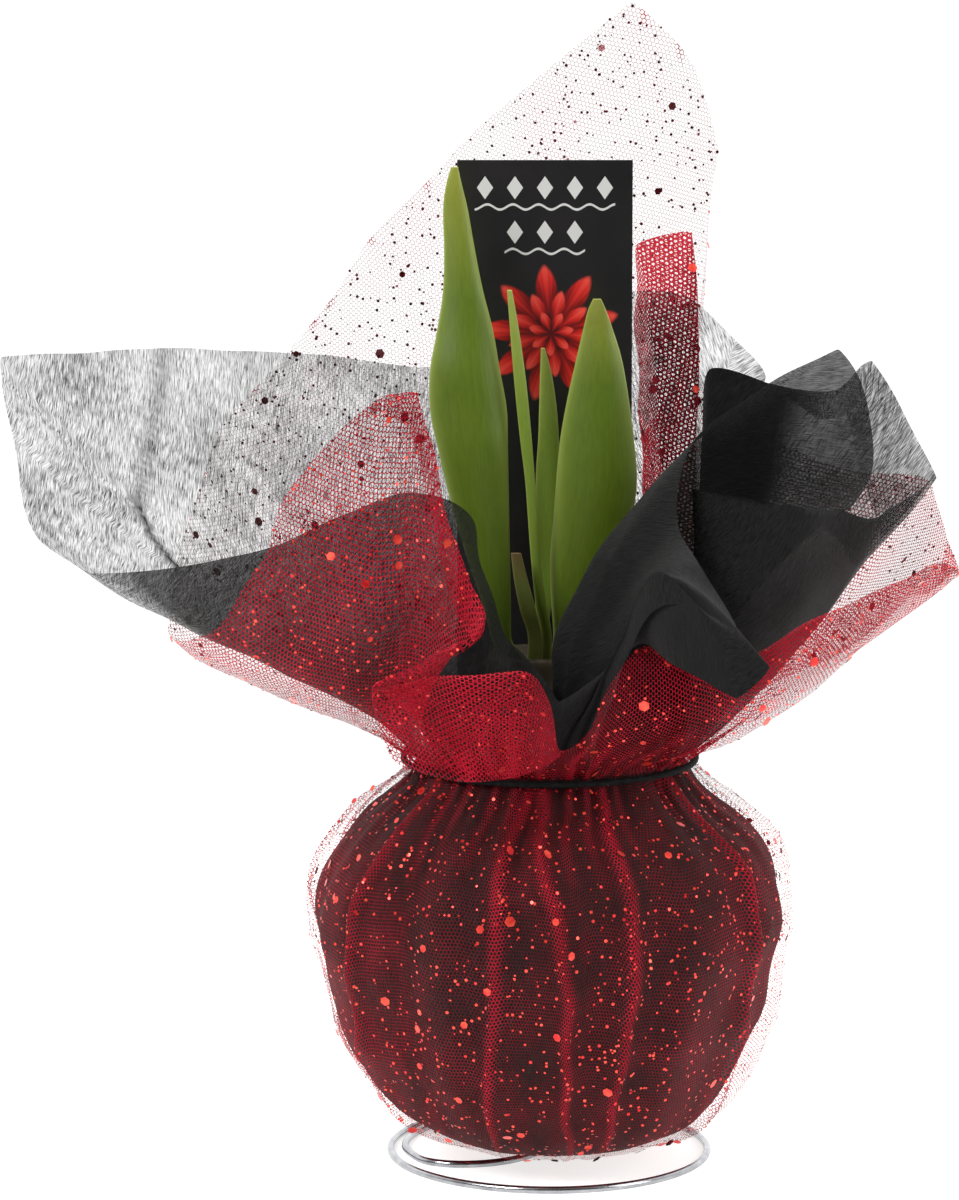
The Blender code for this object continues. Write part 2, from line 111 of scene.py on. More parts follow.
# %% Ribs of both sheets
BLACK_RIBS = [
    (258, 505, 720, -40, 507, 630, -25, 0.4, 16),
    (263, 522, 722, -40, 524, 656, -31, 0.4, 16),
    (267, 550, 735, -41, 552, 705, -37, 0.4, 16),
    (271, 575, 705, -43, 590, 680, -42, 0.4, 16),
    (273, 612, 640, -47, 636, 645, -50, 0.4, 16),
    (275, 640, 560, -58, 672, 668, -68, 0.45, 16),
    (279, 655, 500, -68, 733, 697, -76, 0.45, 16),
    (283, 648, 560, -70, 768, 668, -74, 0.45, 16),
    (286, 655, 510, -66, 741, 650, -70, 0.4, 16),
    (289, 632, 555, -56, 702, 566, -58, 0.35, 16),
    (292, 600, 590, -42, 680, 524, -44, 0.2, 20),
    (295, 590, 570, -37, 700, 440, -37, 0.15, 22),
    (299, 577, 540, -31, 765, 385, -26, 0.08, 24),
    (304, 600, 530, -24, 838, 348, -14, 0.05, 26),
    (309, 680, 540, -19, 866, 400, -9, 0.05, 26),
    (314, 720, 560, -17, 870, 470, -12, 0.05, 26),
    (318, 735, 575, -19, 852, 511, -20, 0.1, 24),
    (322, 705, 650, -29, 800, 512, -27, 0.5, 14),
    (326, 668, 680, -33, 745, 498, -31, 0.6, 12),
    (330, 668, 745, -36, 700, 488, -34, 0.65, 12),
    (334, 705, 758, -40, 730, 498, -36, 0.65, 12),
    (338, 755, 760, -40, 765, 506, -36, 0.65, 12),
    (342, 785, 738, -34, 805, 511, -32, 0.65, 12),
    (346, 812, 712, -25, 842, 513, -22, 0.6, 13),
    (350, 822, 682, -14, 872, 520, -11, 0.6, 14),
    (354, 822, 655, -5, 904, 500, 0, 0.6, 14),
    (358, 815, 635, 2.5, 930, 478, 8, 0.4, 16),
    (363, 780, 600, 9.5, 902, 420, 13.5, 0.4, 16),
    (368, 760, 600, 15, 876, 361, 17.5, 0.4, 16),
    (374, 740, 610, 20.5, 835, 390, 23, 0.4, 16),
    (380, 715, 600, 26, 768, 381, 30, 0.4, 16),
    (386, 690, 600, 31.5, 712, 371, 35.5, 0.4, 16),
    (392, 690, 610, 36.5, 706, 420, 41, 0.4, 16),
    (398, 700, 590, 41, 742, 400, 45, 0.4, 16),
    (404, 690, 580, 43, 768, 378, 47.5, 0.4, 16),
    (411, 670, 570, 47.5, 735, 340, 54.5, 0.4, 16),
    (418, 650, 560, 50.5, 690, 300, 58.5, 0.4, 16),
    (426, 620, 560, 53, 640, 292, 62.5, 0.4, 16),
    (435, 580, 560, 56, 590, 302, 65.5, 0.4, 16),
    (445, 530, 570, 56, 530, 330, 65.5, 0.4, 16),
    (456, 480, 590, 54.5, 470, 355, 62.5, 0.4, 16),
    (467, 430, 610, 49, 420, 367, 57, 0.4, 16),
    (477, 385, 625, 42, 360, 358, 50.5, 0.4, 16),
    (486, 340, 630, 34, 300, 352, 42, 0.4, 16),
    (494, 300, 625, 26, 235, 348, 34, 0.4, 16),
    (501, 260, 615, 16.5, 165, 347, 24.5, 0.4, 16),
    (507, 220, 600, 8, 90, 352, 13.5, 0.4, 16),
    (513, 165, 575, 0, 3, 358, 2.5, 0.4, 16),
    (519, 160, 590, -6, 7, 425, -3, 0.4, 16),
    (525, 165, 610, -12, 18, 485, -8, 0.4, 16),
    (531, 175, 625, -18, 40, 543, -15, 0.4, 16),
    (537, 190, 640, -25, 88, 573, -27, 0.4, 16),
    (544, 205, 672, -34, 150, 567, -34, 0.4, 16),
    (552, 250, 700, -39, 215, 559, -37, 0.4, 16),
    (560, 300, 722, -43, 280, 542, -37, 0.4, 16),
    (569, 345, 734, -44, 340, 515, -36, 0.4, 16),
    (579, 390, 732, -43, 400, 493, -33, 0.4, 16),
    (589, 430, 722, -41, 446, 497, -30, 0.4, 16),
    (598, 462, 716, -40, 473, 520, -28, 0.4, 16),
    (608, 483, 716, -40, 483, 565, -27, 0.4, 16),
]
TULLE_RIBS = [
    (236, 358, 666, -68, 392, 755, -64, 0.8, 16),
    (243, 405, 652, -64, 440, 775, -61, 0.8, 16),
    (250, 450, 645, -60, 488, 779, -58, 0.8, 16),
    (257, 515, 640, -59, 522, 775, -57, 0.8, 16),
    (263, 550, 668, -56, 546, 766, -55, 0.8, 16),
    (268, 562, 738, -53, 566, 752, -54, 0.8, 16),
    (273, 588, 752, -55, 590, 728, -55, 0.8, 16),
    (278, 612, 752, -57, 606, 688, -55, 0.8, 16),
    (284, 642, 756, -58, 634, 648, -51, 0.8, 16),
    (290, 680, 758, -58, 672, 656, -50, 0.8, 16),
    (297, 722, 760, -56, 714, 662, -49, 0.8, 16),
    (304, 772, 780, -53, 750, 652, -51, 0.8, 16),
    (311, 802, 770, -49, 795, 625, -47, 0.8, 16),
    (318, 836, 736, -43, 845, 602, -40, 0.95, 16),
    (325, 856, 702, -35, 900, 578, -31, 1.05, 16),
    (332, 860, 674, -26, 941, 562, -20, 1.05, 16),
    (339, 864, 664, -16, 957, 573, -9, 1.05, 16),
    (346, 850, 670, -5, 942, 540, 2.5, 0.95, 16),
    (353, 840, 660, 9.5, 928, 500, 16.5, 0.8, 16),
    (360, 830, 650, 22, 915, 478, 27, 0.8, 16),
    (367, 800, 640, 32.5, 860, 470, 39.5, 0.8, 16),
    (374, 770, 630, 42, 800, 450, 51.5, 0.8, 16),
    (381, 740, 620, 47.5, 722, 424, 57, 0.8, 16),
    (388, 715, 600, 51.5, 686, 330, 62.5, 0.8, 16),
    (395, 700, 590, 54.5, 692, 232, 68, 0.8, 16),
    (402, 680, 590, 57, 637, 244, 68, 0.8, 16),
    (409, 668, 600, 62.5, 630, 340, 70.5, 0.8, 16),
    (416, 664, 610, 65.5, 645, 432, 68.5, 0.8, 16),
    (423, 660, 590, 68, 684, 345, 76, 0.8, 16),
    (430, 655, 550, 75, 716, 205, 90, 0.8, 16),
    (437, 640, 520, 75, 727, 148, 90, 0.8, 16),
    (444, 620, 500, 75, 690, 65, 90, 0.8, 16),
    (451, 595, 490, 75, 629, 3, 90, 0.8, 16),
    (458, 570, 490, 75, 560, 60, 88.5, 0.8, 16),
    (465, 530, 500, 73.5, 495, 115, 87, 0.8, 16),
    (472, 480, 520, 70.5, 430, 185, 84.5, 0.8, 16),
    (479, 430, 540, 66.5, 365, 245, 80, 0.8, 16),
    (486, 375, 570, 60, 318, 305, 73.5, 0.8, 16),
    (493, 320, 600, 50.5, 280, 355, 65.5, 0.8, 16),
    (500, 270, 625, 38, 225, 425, 51.5, 0.8, 16),
    (507, 235, 645, 19, 190, 505, 30, 0.8, 16),
    (514, 220, 660, 2.5, 178, 582, 7, 0.8, 16),
    (521, 225, 675, -11, 172, 628, -10, 0.8, 16),
    (528, 235, 705, -25, 182, 640, -26, 0.8, 16),
    (534, 250, 732, -38, 207, 634, -39, 0.8, 16),
    (540, 270, 758, -47, 235, 592, -46, 0.8, 16),
    (546, 295, 778, -52, 263, 548, -50, 0.8, 16),
    (552, 320, 792, -54, 292, 490, -51, 0.8, 16),
    (558, 345, 797, -56, 340, 436, -50, 0.8, 16),
    (564, 365, 792, -56, 388, 397, -47, 0.8, 16),
    (569, 390, 778, -55, 420, 393, -41, 0.8, 16),
    (574, 408, 762, -53, 438, 450, -38, 0.8, 16),
    (578, 418, 742, -53, 452, 520, -39, 0.8, 16),
    (582, 415, 722, -58, 472, 580, -41, 0.8, 16),
    (586, 402, 706, -61, 480, 618, -46, 0.8, 16),
    (589, 385, 698, -64, 452, 648, -54, 0.8, 16),
    (592, 376, 690, -65, 408, 667, -63, 0.8, 16),
    (594, 358, 678, -67, 372, 694, -67, 0.8, 16),
]
BLACK_CORNERS = (513, 537, 304, 318, 358, 368, 279, 267)
TULLE_CORNERS = (451, 564, 569, 339, 521, 395, 402, 416, 437)
# angle: sideways push of the first handle, in millimetres
BLACK_SWEEP = {289: -6, 292: -16, 295: -26, 299: -34, 304: -32, 309: -16, 314: -5}
TULLE_SWEEP = {}
# angle: how tightly the rib turns at its handle, 1 is a plain curve
BLACK_TIGHT = {275: 1.8, 279: 2.5, 283: 2.5, 286: 2.0, 289: 1.4}
TULLE_TIGHT = {582: 1.8, 586: 2.4, 589: 2.4, 592: 2.0, 594: 2.2, 236: 3, 243: 3.8, 250: 3.5, 257: 3.5, 263: 2.5}
# angle: width of the hem that is turned back under, in millimetres
BLACK_HEM = {346: 6, 350: 12, 354: 17, 358: 19, 363: 19, 368: 16, 374: 8}
TULLE_HEM = {
    290: 3, 297: 6, 304: 9, 311: 11, 318: 12, 325: 12, 332: 11, 339: 8, 564: 4, 569: 8, 574: 9,
    578: 10, 582: 10, 586: 7, 589: 4,
}
BAG = [
    (3.0, 3.6), (15.0, 3.8), (27.0, 6.0), (37.0, 11.5), (44.0, 21.0), (48.8, 33.0),
    (51.6, 46.0), (52.4, 59.0), (50.0, 71.0), (43.0, 82.5), (34.2, 90.5), (31.0, NECK_Z),
]


def hermite(p0, p1, p2, p3, f, soft1, soft2):
    a = (p2 - p0) * 0.5 * soft1
    b = (p3 - p1) * 0.5 * soft2
    return (
        p1 * (2 * f**3 - 3 * f**2 + 1) + a * (f**3 - 2 * f**2 + f)
        + p2 * (3 * f**2 - 2 * f**3) + b * (f**3 - f**2))


def around(values, where, soft):
    """A closed smooth curve through values, sharp where soft is near 0."""
    n = len(values)
    i = np.floor(where).astype(int)
    f = (where - i)[:, None]
    pick = [values[(i + k) % n] for k in (-1, 0, 1, 2)]
    return hermite(*pick, f, soft[i % n][:, None], soft[(i + 1) % n][:, None])


def along(values, where):
    """An open smooth curve through values, where running 0..1."""
    values = np.asarray(values, float)
    n = len(values) - 1
    place = np.clip(where, 0, 1) * n
    i = np.minimum(np.floor(place).astype(int), n - 1)
    f = (place - i)[:, None]
    pick = [values[np.clip(i + k, 0, n)] for k in (-1, 0, 1, 2)]
    return hermite(*pick, f, 1.0, 1.0)


def rib_words(ribs, words, default):
    """One value for each rib: from a small table of exceptions, or the default."""
    return np.array([words.get(int(a) % 360, words.get(int(a) % 360 + 360, default)) for a in ribs[:, 0]], float)


def rib_arrays(table, corners, first, sweeps, tights, hems, columns):
    """Everything a sheet's columns need, starting at the rib with angle first."""
    ribs = np.array(table, float)
    start = [row[0] for row in table].index(first)
    ribs[:start, 0] += 360.0
    ribs = np.roll(ribs, -start, axis=0)
    n = len(ribs)
    soft = np.array([0.25 if (a % 360) in [c % 360 for c in corners] else 0.9 for a in ribs[:, 0]])
    where = np.arange(columns) * n / columns
    step = ribs[:, 0] - ribs[0, 0] - 360.0 * np.arange(n) / n
    angle = around(step[:, None], where, np.ones(n))[:, 0] + ribs[0, 0] + 360.0 * where / n
    handle = around(spots(ribs[:, 1], ribs[:, 2], ribs[:, 3]), where, soft)
    end = around(spots(ribs[:, 4], ribs[:, 5], ribs[:, 6]), where, soft)
    words = np.stack([
        ribs[:, 7], ribs[:, 8], rib_words(ribs, sweeps, 0.0), rib_words(ribs, tights, 1.0),
        rib_words(ribs, hems, 0.0)], -1)
    words = around(words, where, np.full(n, 0.6)).T
    return np.radians(angle), handle, end, words


print("ribs:", len(BLACK_RIBS), "black,", len(TULLE_RIBS), "net")

# %% [markdown]
# The bag's pleats and the gathers at the tie are one field of radial shifts,
# used for both sheets, so that the two can't cross where they lie close.

# %% Pleats and gathers as fields
WAVES = [(int(k), rng.uniform(0, 6.28), rng.uniform(0.5, 1.0)) for k in (37, 41, 53, 61)]
PLEATS = [(int(k), rng.uniform(0, 6.28), rng.uniform(0.5, 1.0)) for k in (13, 19, 26, 31)]
FOLDS = [(int(k), rng.uniform(0, 6.28), rng.uniform(0.5, 1.0)) for k in (7, 11, 16, 23)]
RIDGES = [
    (208, 221, 2.6), (246, 262, 2.2), (279, 267, 2.6), (287, 290, 1.8), (333, 322, 2.6),
    (18, 30, 2.2), (52, 40, 2.0), (78, 90, 2.4), (112, 104, 2.0), (138, 150, 2.4), (172, 165, 2.2),
]
# where the bag stands out or in: side, height, spread and push in millimetres
BULGES = [
    (-1, 64, 12, 3.0), (-1, 88, 5, -1.8), (-1, 38, 8, -1.4), (1, 85, 6, -4.0), (1, 56, 6, 1.5), (1, 36, 6, 1.6),
]


def waves(angle, table):
    total = sum(w for _, _, w in table)
    return sum(w * np.cos(k * angle + p) for k, p, w in table) / total


def bag_points(angle, s, neck_r, loose):
    """The pleated bag: angle and s are grids, loose stands the net off the cloth."""
    profile = along(BAG, s.ravel()).reshape(s.shape + (2,))
    r, z = profile[..., 0], profile[..., 1]
    body = np.sin(np.pi * np.clip(s, 0, 1)) ** 0.7
    r = r + 1.5 * waves(angle, FOLDS) * body * np.clip(s * 2, 0, 1)
    gather = np.exp(-((1 - s) / 0.10) ** 2) * (0.25 + 0.75 * np.clip((1 - s) / 0.05, 0, 1))
    r = r + 1.5 * gather * waves(angle, WAVES)
    drawn = np.exp(-((0.88 - s) / 0.10) ** 2)
    r = r + 1.7 * drawn * waves(angle + 0.1 * s, PLEATS)
    left, right = (np.clip(way * np.cos(angle), 0, 1) ** 2 for way in (-1, 1))
    r = r * (1 - 0.09 * left * np.clip((30.0 - z) / 20.0, 0, 1))
    for side, height, spread, push in BULGES:
        r = r + push * np.exp(-(((z - height) / spread) ** 2)) * (left if side < 0 else right)
    r = r + (neck_r - 31.0) * s**4
    if loose:
        lobes = 0.5 + 0.5 * np.cos(5 * angle + 0.6) * np.cos(3 * angle + 1.1 + 3 * s)
        side = np.clip(np.cos(angle), 0, 1) ** 3 + 0.25 * np.clip(-np.cos(angle), 0, 1) ** 3
        shoulder = np.exp(-((s - 0.83) / 0.12) ** 2)
        foot = np.exp(-((s - 0.38) / 0.16) ** 2)
        snug = 1 - 0.6 * left * np.clip((58.0 - z) / 14.0, 0, 1)
        r = r + 1.7 * snug * np.clip(s * 3, 0, 1) * np.clip((1 - s) * 6, 0, 1)
        r = r + (1.2 * lobes + 4.6 * side * shoulder + 2.6 * side * foot) * body * snug
        for low_a, high_a, height in RIDGES:
            at = np.radians(low_a + (high_a - low_a) * s)
            off = np.angle(np.exp(1j * (angle - at)))
            r = r + 0.8 * height * np.exp(-((off / 0.03) ** 2)) * np.clip(body * 1.4, 0, 1)
        z = z - 0.8 * (1 - s) ** 2
    return np.stack([r * np.cos(angle), r * np.sin(angle), z], -1)


HEM_ROWS = 20
HEM_GAP = 1.3


def flare_points(angle, t, neck_r, handle, end, words):
    """The ribs above the tie; angle, t are grids, the rest is one per column."""
    lean, most, sweep, tight, hem = words
    out = np.stack([np.cos(angle), np.sin(angle), 0 * angle], -1)
    start = out * neck_r + np.array([0, 0, NECK_Z])
    reach = np.minimum(most, 0.25 * np.linalg.norm(end - start[0], axis=-1))
    first = start + (out * lean[:, None] + np.array([0, 0, 0.9])) * reach[:, None]
    first = first + sweep[:, None] * np.array([1.0, 0, 0])
    t = t[..., None]
    tight = tight[:, None]
    points = start * (1 - t) ** 3 + 3 * first * t * (1 - t) ** 2 + 3 * tight * handle * t * t * (1 - t) + end * t**3
    points = points / ((1 - t) ** 3 + 3 * t * (1 - t) ** 2 + 3 * tight * t * t * (1 - t) + t**3)
    main = len(points) - HEM_ROWS
    back = points[main - 4] - points[main - 1]
    back /= np.linalg.norm(back, axis=-1, keepdims=True)
    side = np.gradient(points[main - 1], axis=0)
    under = np.cross(back, side)
    under /= np.linalg.norm(under, axis=-1, keepdims=True) + 1e-9
    axis_way = -points[main - 1] * np.array([1, 1, 0])
    under = under * np.sign(np.sum(under * axis_way, axis=-1, keepdims=True))
    for k in range(HEM_ROWS):
        f = (k + 1) / HEM_ROWS
        turned = hem * f
        gap = HEM_GAP * np.minimum(1.0, turned / 1.5) * np.clip(hem / 3.0, 0, 1)
        points[main + k] = points[main - 1] + back * (turned - gap * 0.3)[:, None] + under * gap[:, None]
    rise = np.linalg.norm(points - start, axis=-1)
    gather = np.exp(-((rise / 20.0) ** 2)) * (0.25 + 0.75 * np.clip(rise / 5.0, 0, 1))
    return points + out * (1.5 * gather * waves(angle, WAVES))[..., None]


def crumple(points, amount):
    """A smooth shift of space that wrinkles whatever lies in it."""
    p = points / 10.0
    shift = np.zeros_like(points)
    turns = np.random.default_rng(11)
    for size, height in ((0.9, 0.9), (1.7, 0.5), (3.4, 0.22)):
        for _ in range(4):
            way = turns.normal(size=3)
            way /= np.linalg.norm(way)
            push = turns.normal(size=3)
            push -= way * push.dot(way)
            push /= np.linalg.norm(push)
            wave = np.sin((p @ way) * size + turns.uniform(0, 6.28))
            shift += push * (wave * height * amount)[..., None]
    return points + shift


# a crease: rib angles that it lies between, and its corners in the picture
CREASES = [
    (486, 541, [(163, 352), (158, 400), (150, 440), (138, 505)], 8.0, 0.55),
    (486, 541, [(138, 505), (150, 535), (175, 567)], 3.0, 1.0),
    (486, 530, [(262, 470), (292, 520), (330, 545)], 3.0, 0.4),
    (486, 541, [(20, 470), (45, 530), (84, 566)], 2.5, 0.3),
]


def crease_weight(points, angle, crease):
    """1 on a crease, fading to 0 a few millimetres off it."""
    low, high, corners, wide, strength = crease
    u, v = picture(points)
    near = np.full(u.shape, 1e9)
    for (u0, v0), (u1, v1) in zip(corners, corners[1:]):
        length = math.hypot(u1 - u0, v1 - v0)
        f = np.clip(((u - u0) * (u1 - u0) + (v - v0) * (v1 - v0)) / length**2, 0, 1)
        near = np.minimum(near, np.hypot(u - u0 - f * (u1 - u0), v - v0 - f * (v1 - v0)))
    turn = np.degrees(angle)
    among = (turn > low) & (turn < high)
    return strength * np.exp(-((near / wide) ** 2)) * among


print("ridges:", len(RIDGES), "creases:", len(CREASES))

# %% [markdown]
# A fine grid becomes each sheet: its columns run round the bulb and its rows
# run from the hole under the bulb, through the tie, out to the cut edge. The
# UV map is in metres of cloth, so a net or a fibre keeps its real size.

# %% From a grid to a gathered sheet
COLUMNS = 600
BAG_ROWS = 64
FLARE_ROWS = 102
SIDE_START = 25.0


def cloth_uv(points, zero, full):
    """Metres of cloth at each corner: one map for the bag, one for the flare."""
    step = np.linalg.norm(np.diff(points, axis=0), axis=-1)
    length = np.concatenate([np.zeros((1, points.shape[1])), np.cumsum(step, axis=0)])
    length += (SIDE_START - length[BAG_ROWS]) * (np.arange(len(points)) >= BAG_ROWS)[:, None]
    turn = np.linspace(0, 2 * math.pi, points.shape[1])
    bag = np.stack([np.broadcast_to(turn * 84.0, length.shape), length * 1.2], -1)
    row = BAG_ROWS + int(FLARE_ROWS * 0.6)
    across = np.linalg.norm(np.diff(points[row], axis=0), axis=-1)
    middle = (length[row, 1:] + length[row, :-1]) / 2
    fan = np.concatenate([[0.0], np.cumsum(full * across / middle)])
    fan -= fan[zero]
    flare = np.stack([length * np.cos(fan), length * np.sin(fan)], -1)
    return bag * MM, flare * MM


def sheet_object(name, points, zero, full, layers):
    """A grid of points in the row frame becomes a mesh closed along its seam."""
    rows, columns = points.shape[0] - 1, points.shape[1] - 1
    bag, flare = cloth_uv((points - points[0, 0]) / MM, zero, full)
    bm = bmesh.new()
    bmesh.ops.create_grid(bm, x_segments=columns, y_segments=rows, size=0.5, calc_uvs=False)
    mesh = bpy.data.meshes.new(name)
    bm.to_mesh(mesh)
    bm.free()
    grid = np.zeros(len(mesh.vertices) * 3)
    mesh.vertices.foreach_get("co", grid)
    grid = grid.reshape(-1, 3)
    i = np.rint((grid[:, 0] + 0.5) * columns).astype(int)
    j = np.rint((grid[:, 1] + 0.5) * rows).astype(int)
    mesh.vertices.foreach_set("co", points[j, i].ravel())
    corner = np.zeros(len(mesh.loops), int)
    mesh.loops.foreach_get("vertex_index", corner)
    face_low = j[corner].reshape(-1, 4).min(axis=1).repeat(4)
    uv = np.where((face_low < BAG_ROWS)[:, None], bag[j[corner], i[corner]], flare[j[corner], i[corner]])
    layer = mesh.uv_layers.new(name="cloth")
    layer.data.foreach_set("uv", uv.ravel())
    mesh.attributes.new("layers", "FLOAT", "POINT").data.foreach_set("value", layers[j, i])
    joined = bmesh.new()
    joined.from_mesh(mesh)
    bmesh.ops.remove_doubles(joined, verts=joined.verts, dist=0.000004)
    for face in joined.faces:
        face.smooth = True
    joined.to_mesh(mesh)
    joined.free()
    obj = bpy.data.objects.new(name, mesh)
    bpy.context.collection.objects.link(obj)
    return obj


def between(turn, low, high, soft):
    """1 where an angle in degrees lies between low and high, with soft ends."""
    turn = (turn - low + 90.0) % 360.0 + low - 90.0
    return np.clip((turn - low) / soft + 0.5, 0, 1) * np.clip((high - turn) / soft + 0.5, 0, 1)


def cloth_layers(angle, points, hem):
    """How much of the black cloth lies doubled; below 0 it is thinner than one layer."""
    turn = np.degrees(angle)[None, :] + 0 * points[..., 2]
    neck = np.exp(-((points[..., 2] - NECK_Z) / 20.0) ** 2) * (points[..., 2] > NECK_Z - 6)
    bag = np.arange(len(points))[:, None] < BAG_ROWS
    found = np.maximum(neck, bag * 1.0)
    rows = np.arange(len(points))[:, None]
    out = np.clip((rows - BAG_ROWS) / (FLARE_ROWS - HEM_ROWS), 0, 1)
    for low_a, high_a, inner, outer in (
            (540, 700, 0.95, 0.78), (262, 300, 1.0, 1.0), (300, 322, 1.0, 0.0), (322, 352, 1.0, 0.9),
            (352, 376, 0.8, 0.1), (376, 404, 1.0, 1.0), (440, 496, 0.2, 0.1)):
        among = between(turn, low_a, high_a, 4)
        found = np.maximum(found, among * (inner + (outer - inner) * np.clip(out * 2.2 - 1.2, 0, 1)))
    return found - 0.55 * between(turn, 406, 450, 6) * ~bag * np.clip(out * 2 - 0.5, 0, 1)


def net_layers_and_shade(angle, points, hem):
    """How many nets lie over each other: 0 is one, 1 is about four. Just under the tie it is lowered as painted shadow
    of the collar.
    """
    rows = np.arange(len(points))[:, None]
    turn = np.degrees(angle)[None, :] + 0 * points[..., 2]
    s = np.clip(rows / BAG_ROWS, 0, 1)
    bag = rows < BAG_ROWS
    side = np.abs(np.cos(np.radians(turn)))
    flare = 0.45 * (1 - between(turn, 422, 518, 10)) - 0.25 * between(turn, 262, 335, 10)
    # painted shadow of the collar: the net is made thinner and darker just under the tie
    under = np.exp(-(((NECK_Z - points[..., 2]) / 15.0) ** 2))
    found = np.where(bag, 0.3 * side**3 + 0.15 * (1 - s) - 0.06 - 0.25 * under, flare)
    for low_a, high_a, height in RIDGES:
        at = low_a + (high_a - low_a) * s
        off = (turn - at + 180) % 360 - 180
        found = np.maximum(found, 0.6 * np.exp(-((off / (0.8 + 1.1 * s)) ** 2)) * bag * np.clip(s * 4, 0, 1))
    gather = np.exp(-((points[..., 2] - NECK_Z) / 14.0) ** 2)
    found = found + np.where(bag, 0.3, 0.5) * gather * np.clip(waves(np.radians(turn), WAVES) * 2, 0, 1)
    found = np.maximum(found, 0.7 * (rows > len(points) - 3))
    for low_a, high_a, amount in ((590, 625, 0.45), (540, 566, 0.4), (566, 590, 0.6), (340, 372, 0.6), (393, 418, 1.4)):
        found = np.maximum(found, amount * between(turn, low_a, high_a, 4) * ~bag)
    edge = 1 - np.clip((rows - (BAG_ROWS + FLARE_ROWS - HEM_ROWS - 26)) / 8.0, 0, 1) < 0.5
    found = np.maximum(found, 0.6 * edge * np.clip(hem / 8.0, 0, 1)[None, :])
    return np.clip(found, -0.15, 2)


def gathered_sheet(name, ribs, neck_r, loose, straight, creases, layering):
    """The whole sheet; straight is the rib along which the cloth's grain starts."""
    angle, handle, end, words = rib_arrays(*ribs, COLUMNS)
    s = np.linspace(0, 1, BAG_ROWS + 1)[:, None]
    t = np.minimum(np.arange(1, FLARE_ROWS + 1) / (FLARE_ROWS - HEM_ROWS), 1.0)[:, None]
    bag = bag_points(angle[None, :] + 0 * s, s + 0 * angle, neck_r, loose)
    flare = flare_points(angle[None, :] + 0 * t, t + 0 * angle, neck_r, handle, end, words)
    points = np.concatenate([bag, flare])
    calm = np.clip((points[..., 2:] - 4.0) / 10.0, 0, 1)
    near = np.exp(-((points[..., 2:] - NECK_Z) / 8.0) ** 2)
    inside = np.linalg.norm(points[..., :2], axis=-1, keepdims=True) < 40.0
    calm = calm * (1 - near * inside)
    points = points + (crumple(points, 1.0) - points) * calm
    layers = layering(angle, points, words[4])
    for crease in creases:
        weight = crease_weight(points, angle[None, :], crease)
        points[..., 1] += 2.0 * weight
        layers = np.maximum(layers, weight)
    points = np.concatenate([points, points[:, :1]], axis=1)
    layers = np.concatenate([layers, layers[:, :1]], axis=1)
    zero = int(np.argmin(np.abs(np.degrees(angle) - straight)))
    full = 1 + 0.5 * between(np.degrees(angle), 262, 350, 10) * loose
    obj = sheet_object(name, row_frame(points), zero, full, layers)
    area = sum(face.area for face in obj.data.polygons)
    print(name, "area", round(area, 4), "m2")
    return obj, points


black_cloth, black_points = gathered_sheet(
    "black_cloth", (BLACK_RIBS, BLACK_CORNERS, 411, BLACK_SWEEP, BLACK_TIGHT, BLACK_HEM), 31.0, False,
    545, CREASES, cloth_layers)
red_net, net_points = gathered_sheet(
    "red_net", (TULLE_RIBS, TULLE_CORNERS, 388, TULLE_SWEEP, TULLE_TIGHT, TULLE_HEM), 32.4, True,
    513, [], net_layers_and_shade)
for obj, node in ((black_cloth, "nonwoven_wrap"), (red_net, "tulle_wrap")):
    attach(obj, "root")
    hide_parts(node)

# %% [markdown]
# Materials are built from a few small helpers. A helper that makes one shader
# node and joins it to others keeps each material's recipe readable.

# %% Shader helpers


def node(tree, kind, *joins, **settings):
    """One shader node: settings are its options, joins are (input, value or socket)."""
    made = tree.nodes.new("ShaderNode" + kind)
    for key, value in settings.items():
        setattr(made, key, value)
    for place, value in joins:
        if isinstance(value, bpy.types.NodeSocket):
            tree.links.new(value, made.inputs[place])
        else:
            made.inputs[place].default_value = value
    return made


def maths(tree, operation, *values, clamp=False):
    joins = list(enumerate(values))
    return node(tree, "Math", *joins, operation=operation, use_clamp=clamp).outputs[0]


def ramp(tree, factor, *stops):
    """A colour ramp; each stop is (place, (red, green, blue))."""
    made = node(tree, "ValToRGB", ("Fac", factor))
    points = made.color_ramp.elements
    while len(points) < len(stops):
        points.new(0.5)
    for point, (place, colour) in zip(points, stops):
        point.position = place
        point.color = (*colour, 1.0)
    return made.outputs["Color"]


def new_material(name, **values):
    """A Principled material; the values are constants on its own sockets."""
    made = bpy.data.materials.new(name)
    made.use_nodes = True
    shader = made.node_tree.nodes["Principled BSDF"]
    for key, value in values.items():
        shader.inputs[key.replace("_", " ")].default_value = value
    return made, made.node_tree, shader


def dress(obj, material):
    obj.data.materials.clear()
    obj.data.materials.append(material)


def make_group(name, inputs, outputs):
    """A node group with named float inputs and outputs, and its two end nodes."""
    group = bpy.data.node_groups.new(name, "ShaderNodeTree")
    for label, kind, value in inputs:
        socket = group.interface.new_socket(label, in_out="INPUT", socket_type="NodeSocket" + kind)
        if value is not None:
            socket.default_value = value
    for label, kind in outputs:
        group.interface.new_socket(label, in_out="OUTPUT", socket_type="NodeSocket" + kind)
    return group, group.nodes.new("NodeGroupInput"), group.nodes.new("NodeGroupOutput")


print("helpers ready")

# %% [markdown]
# Black fibre cloth is spun, not woven: long fibres lie one way and thin spots
# let light through. It is a near-black sheet whose alpha follows stretched
# noise, so one layer is grey against the light and two are almost black.

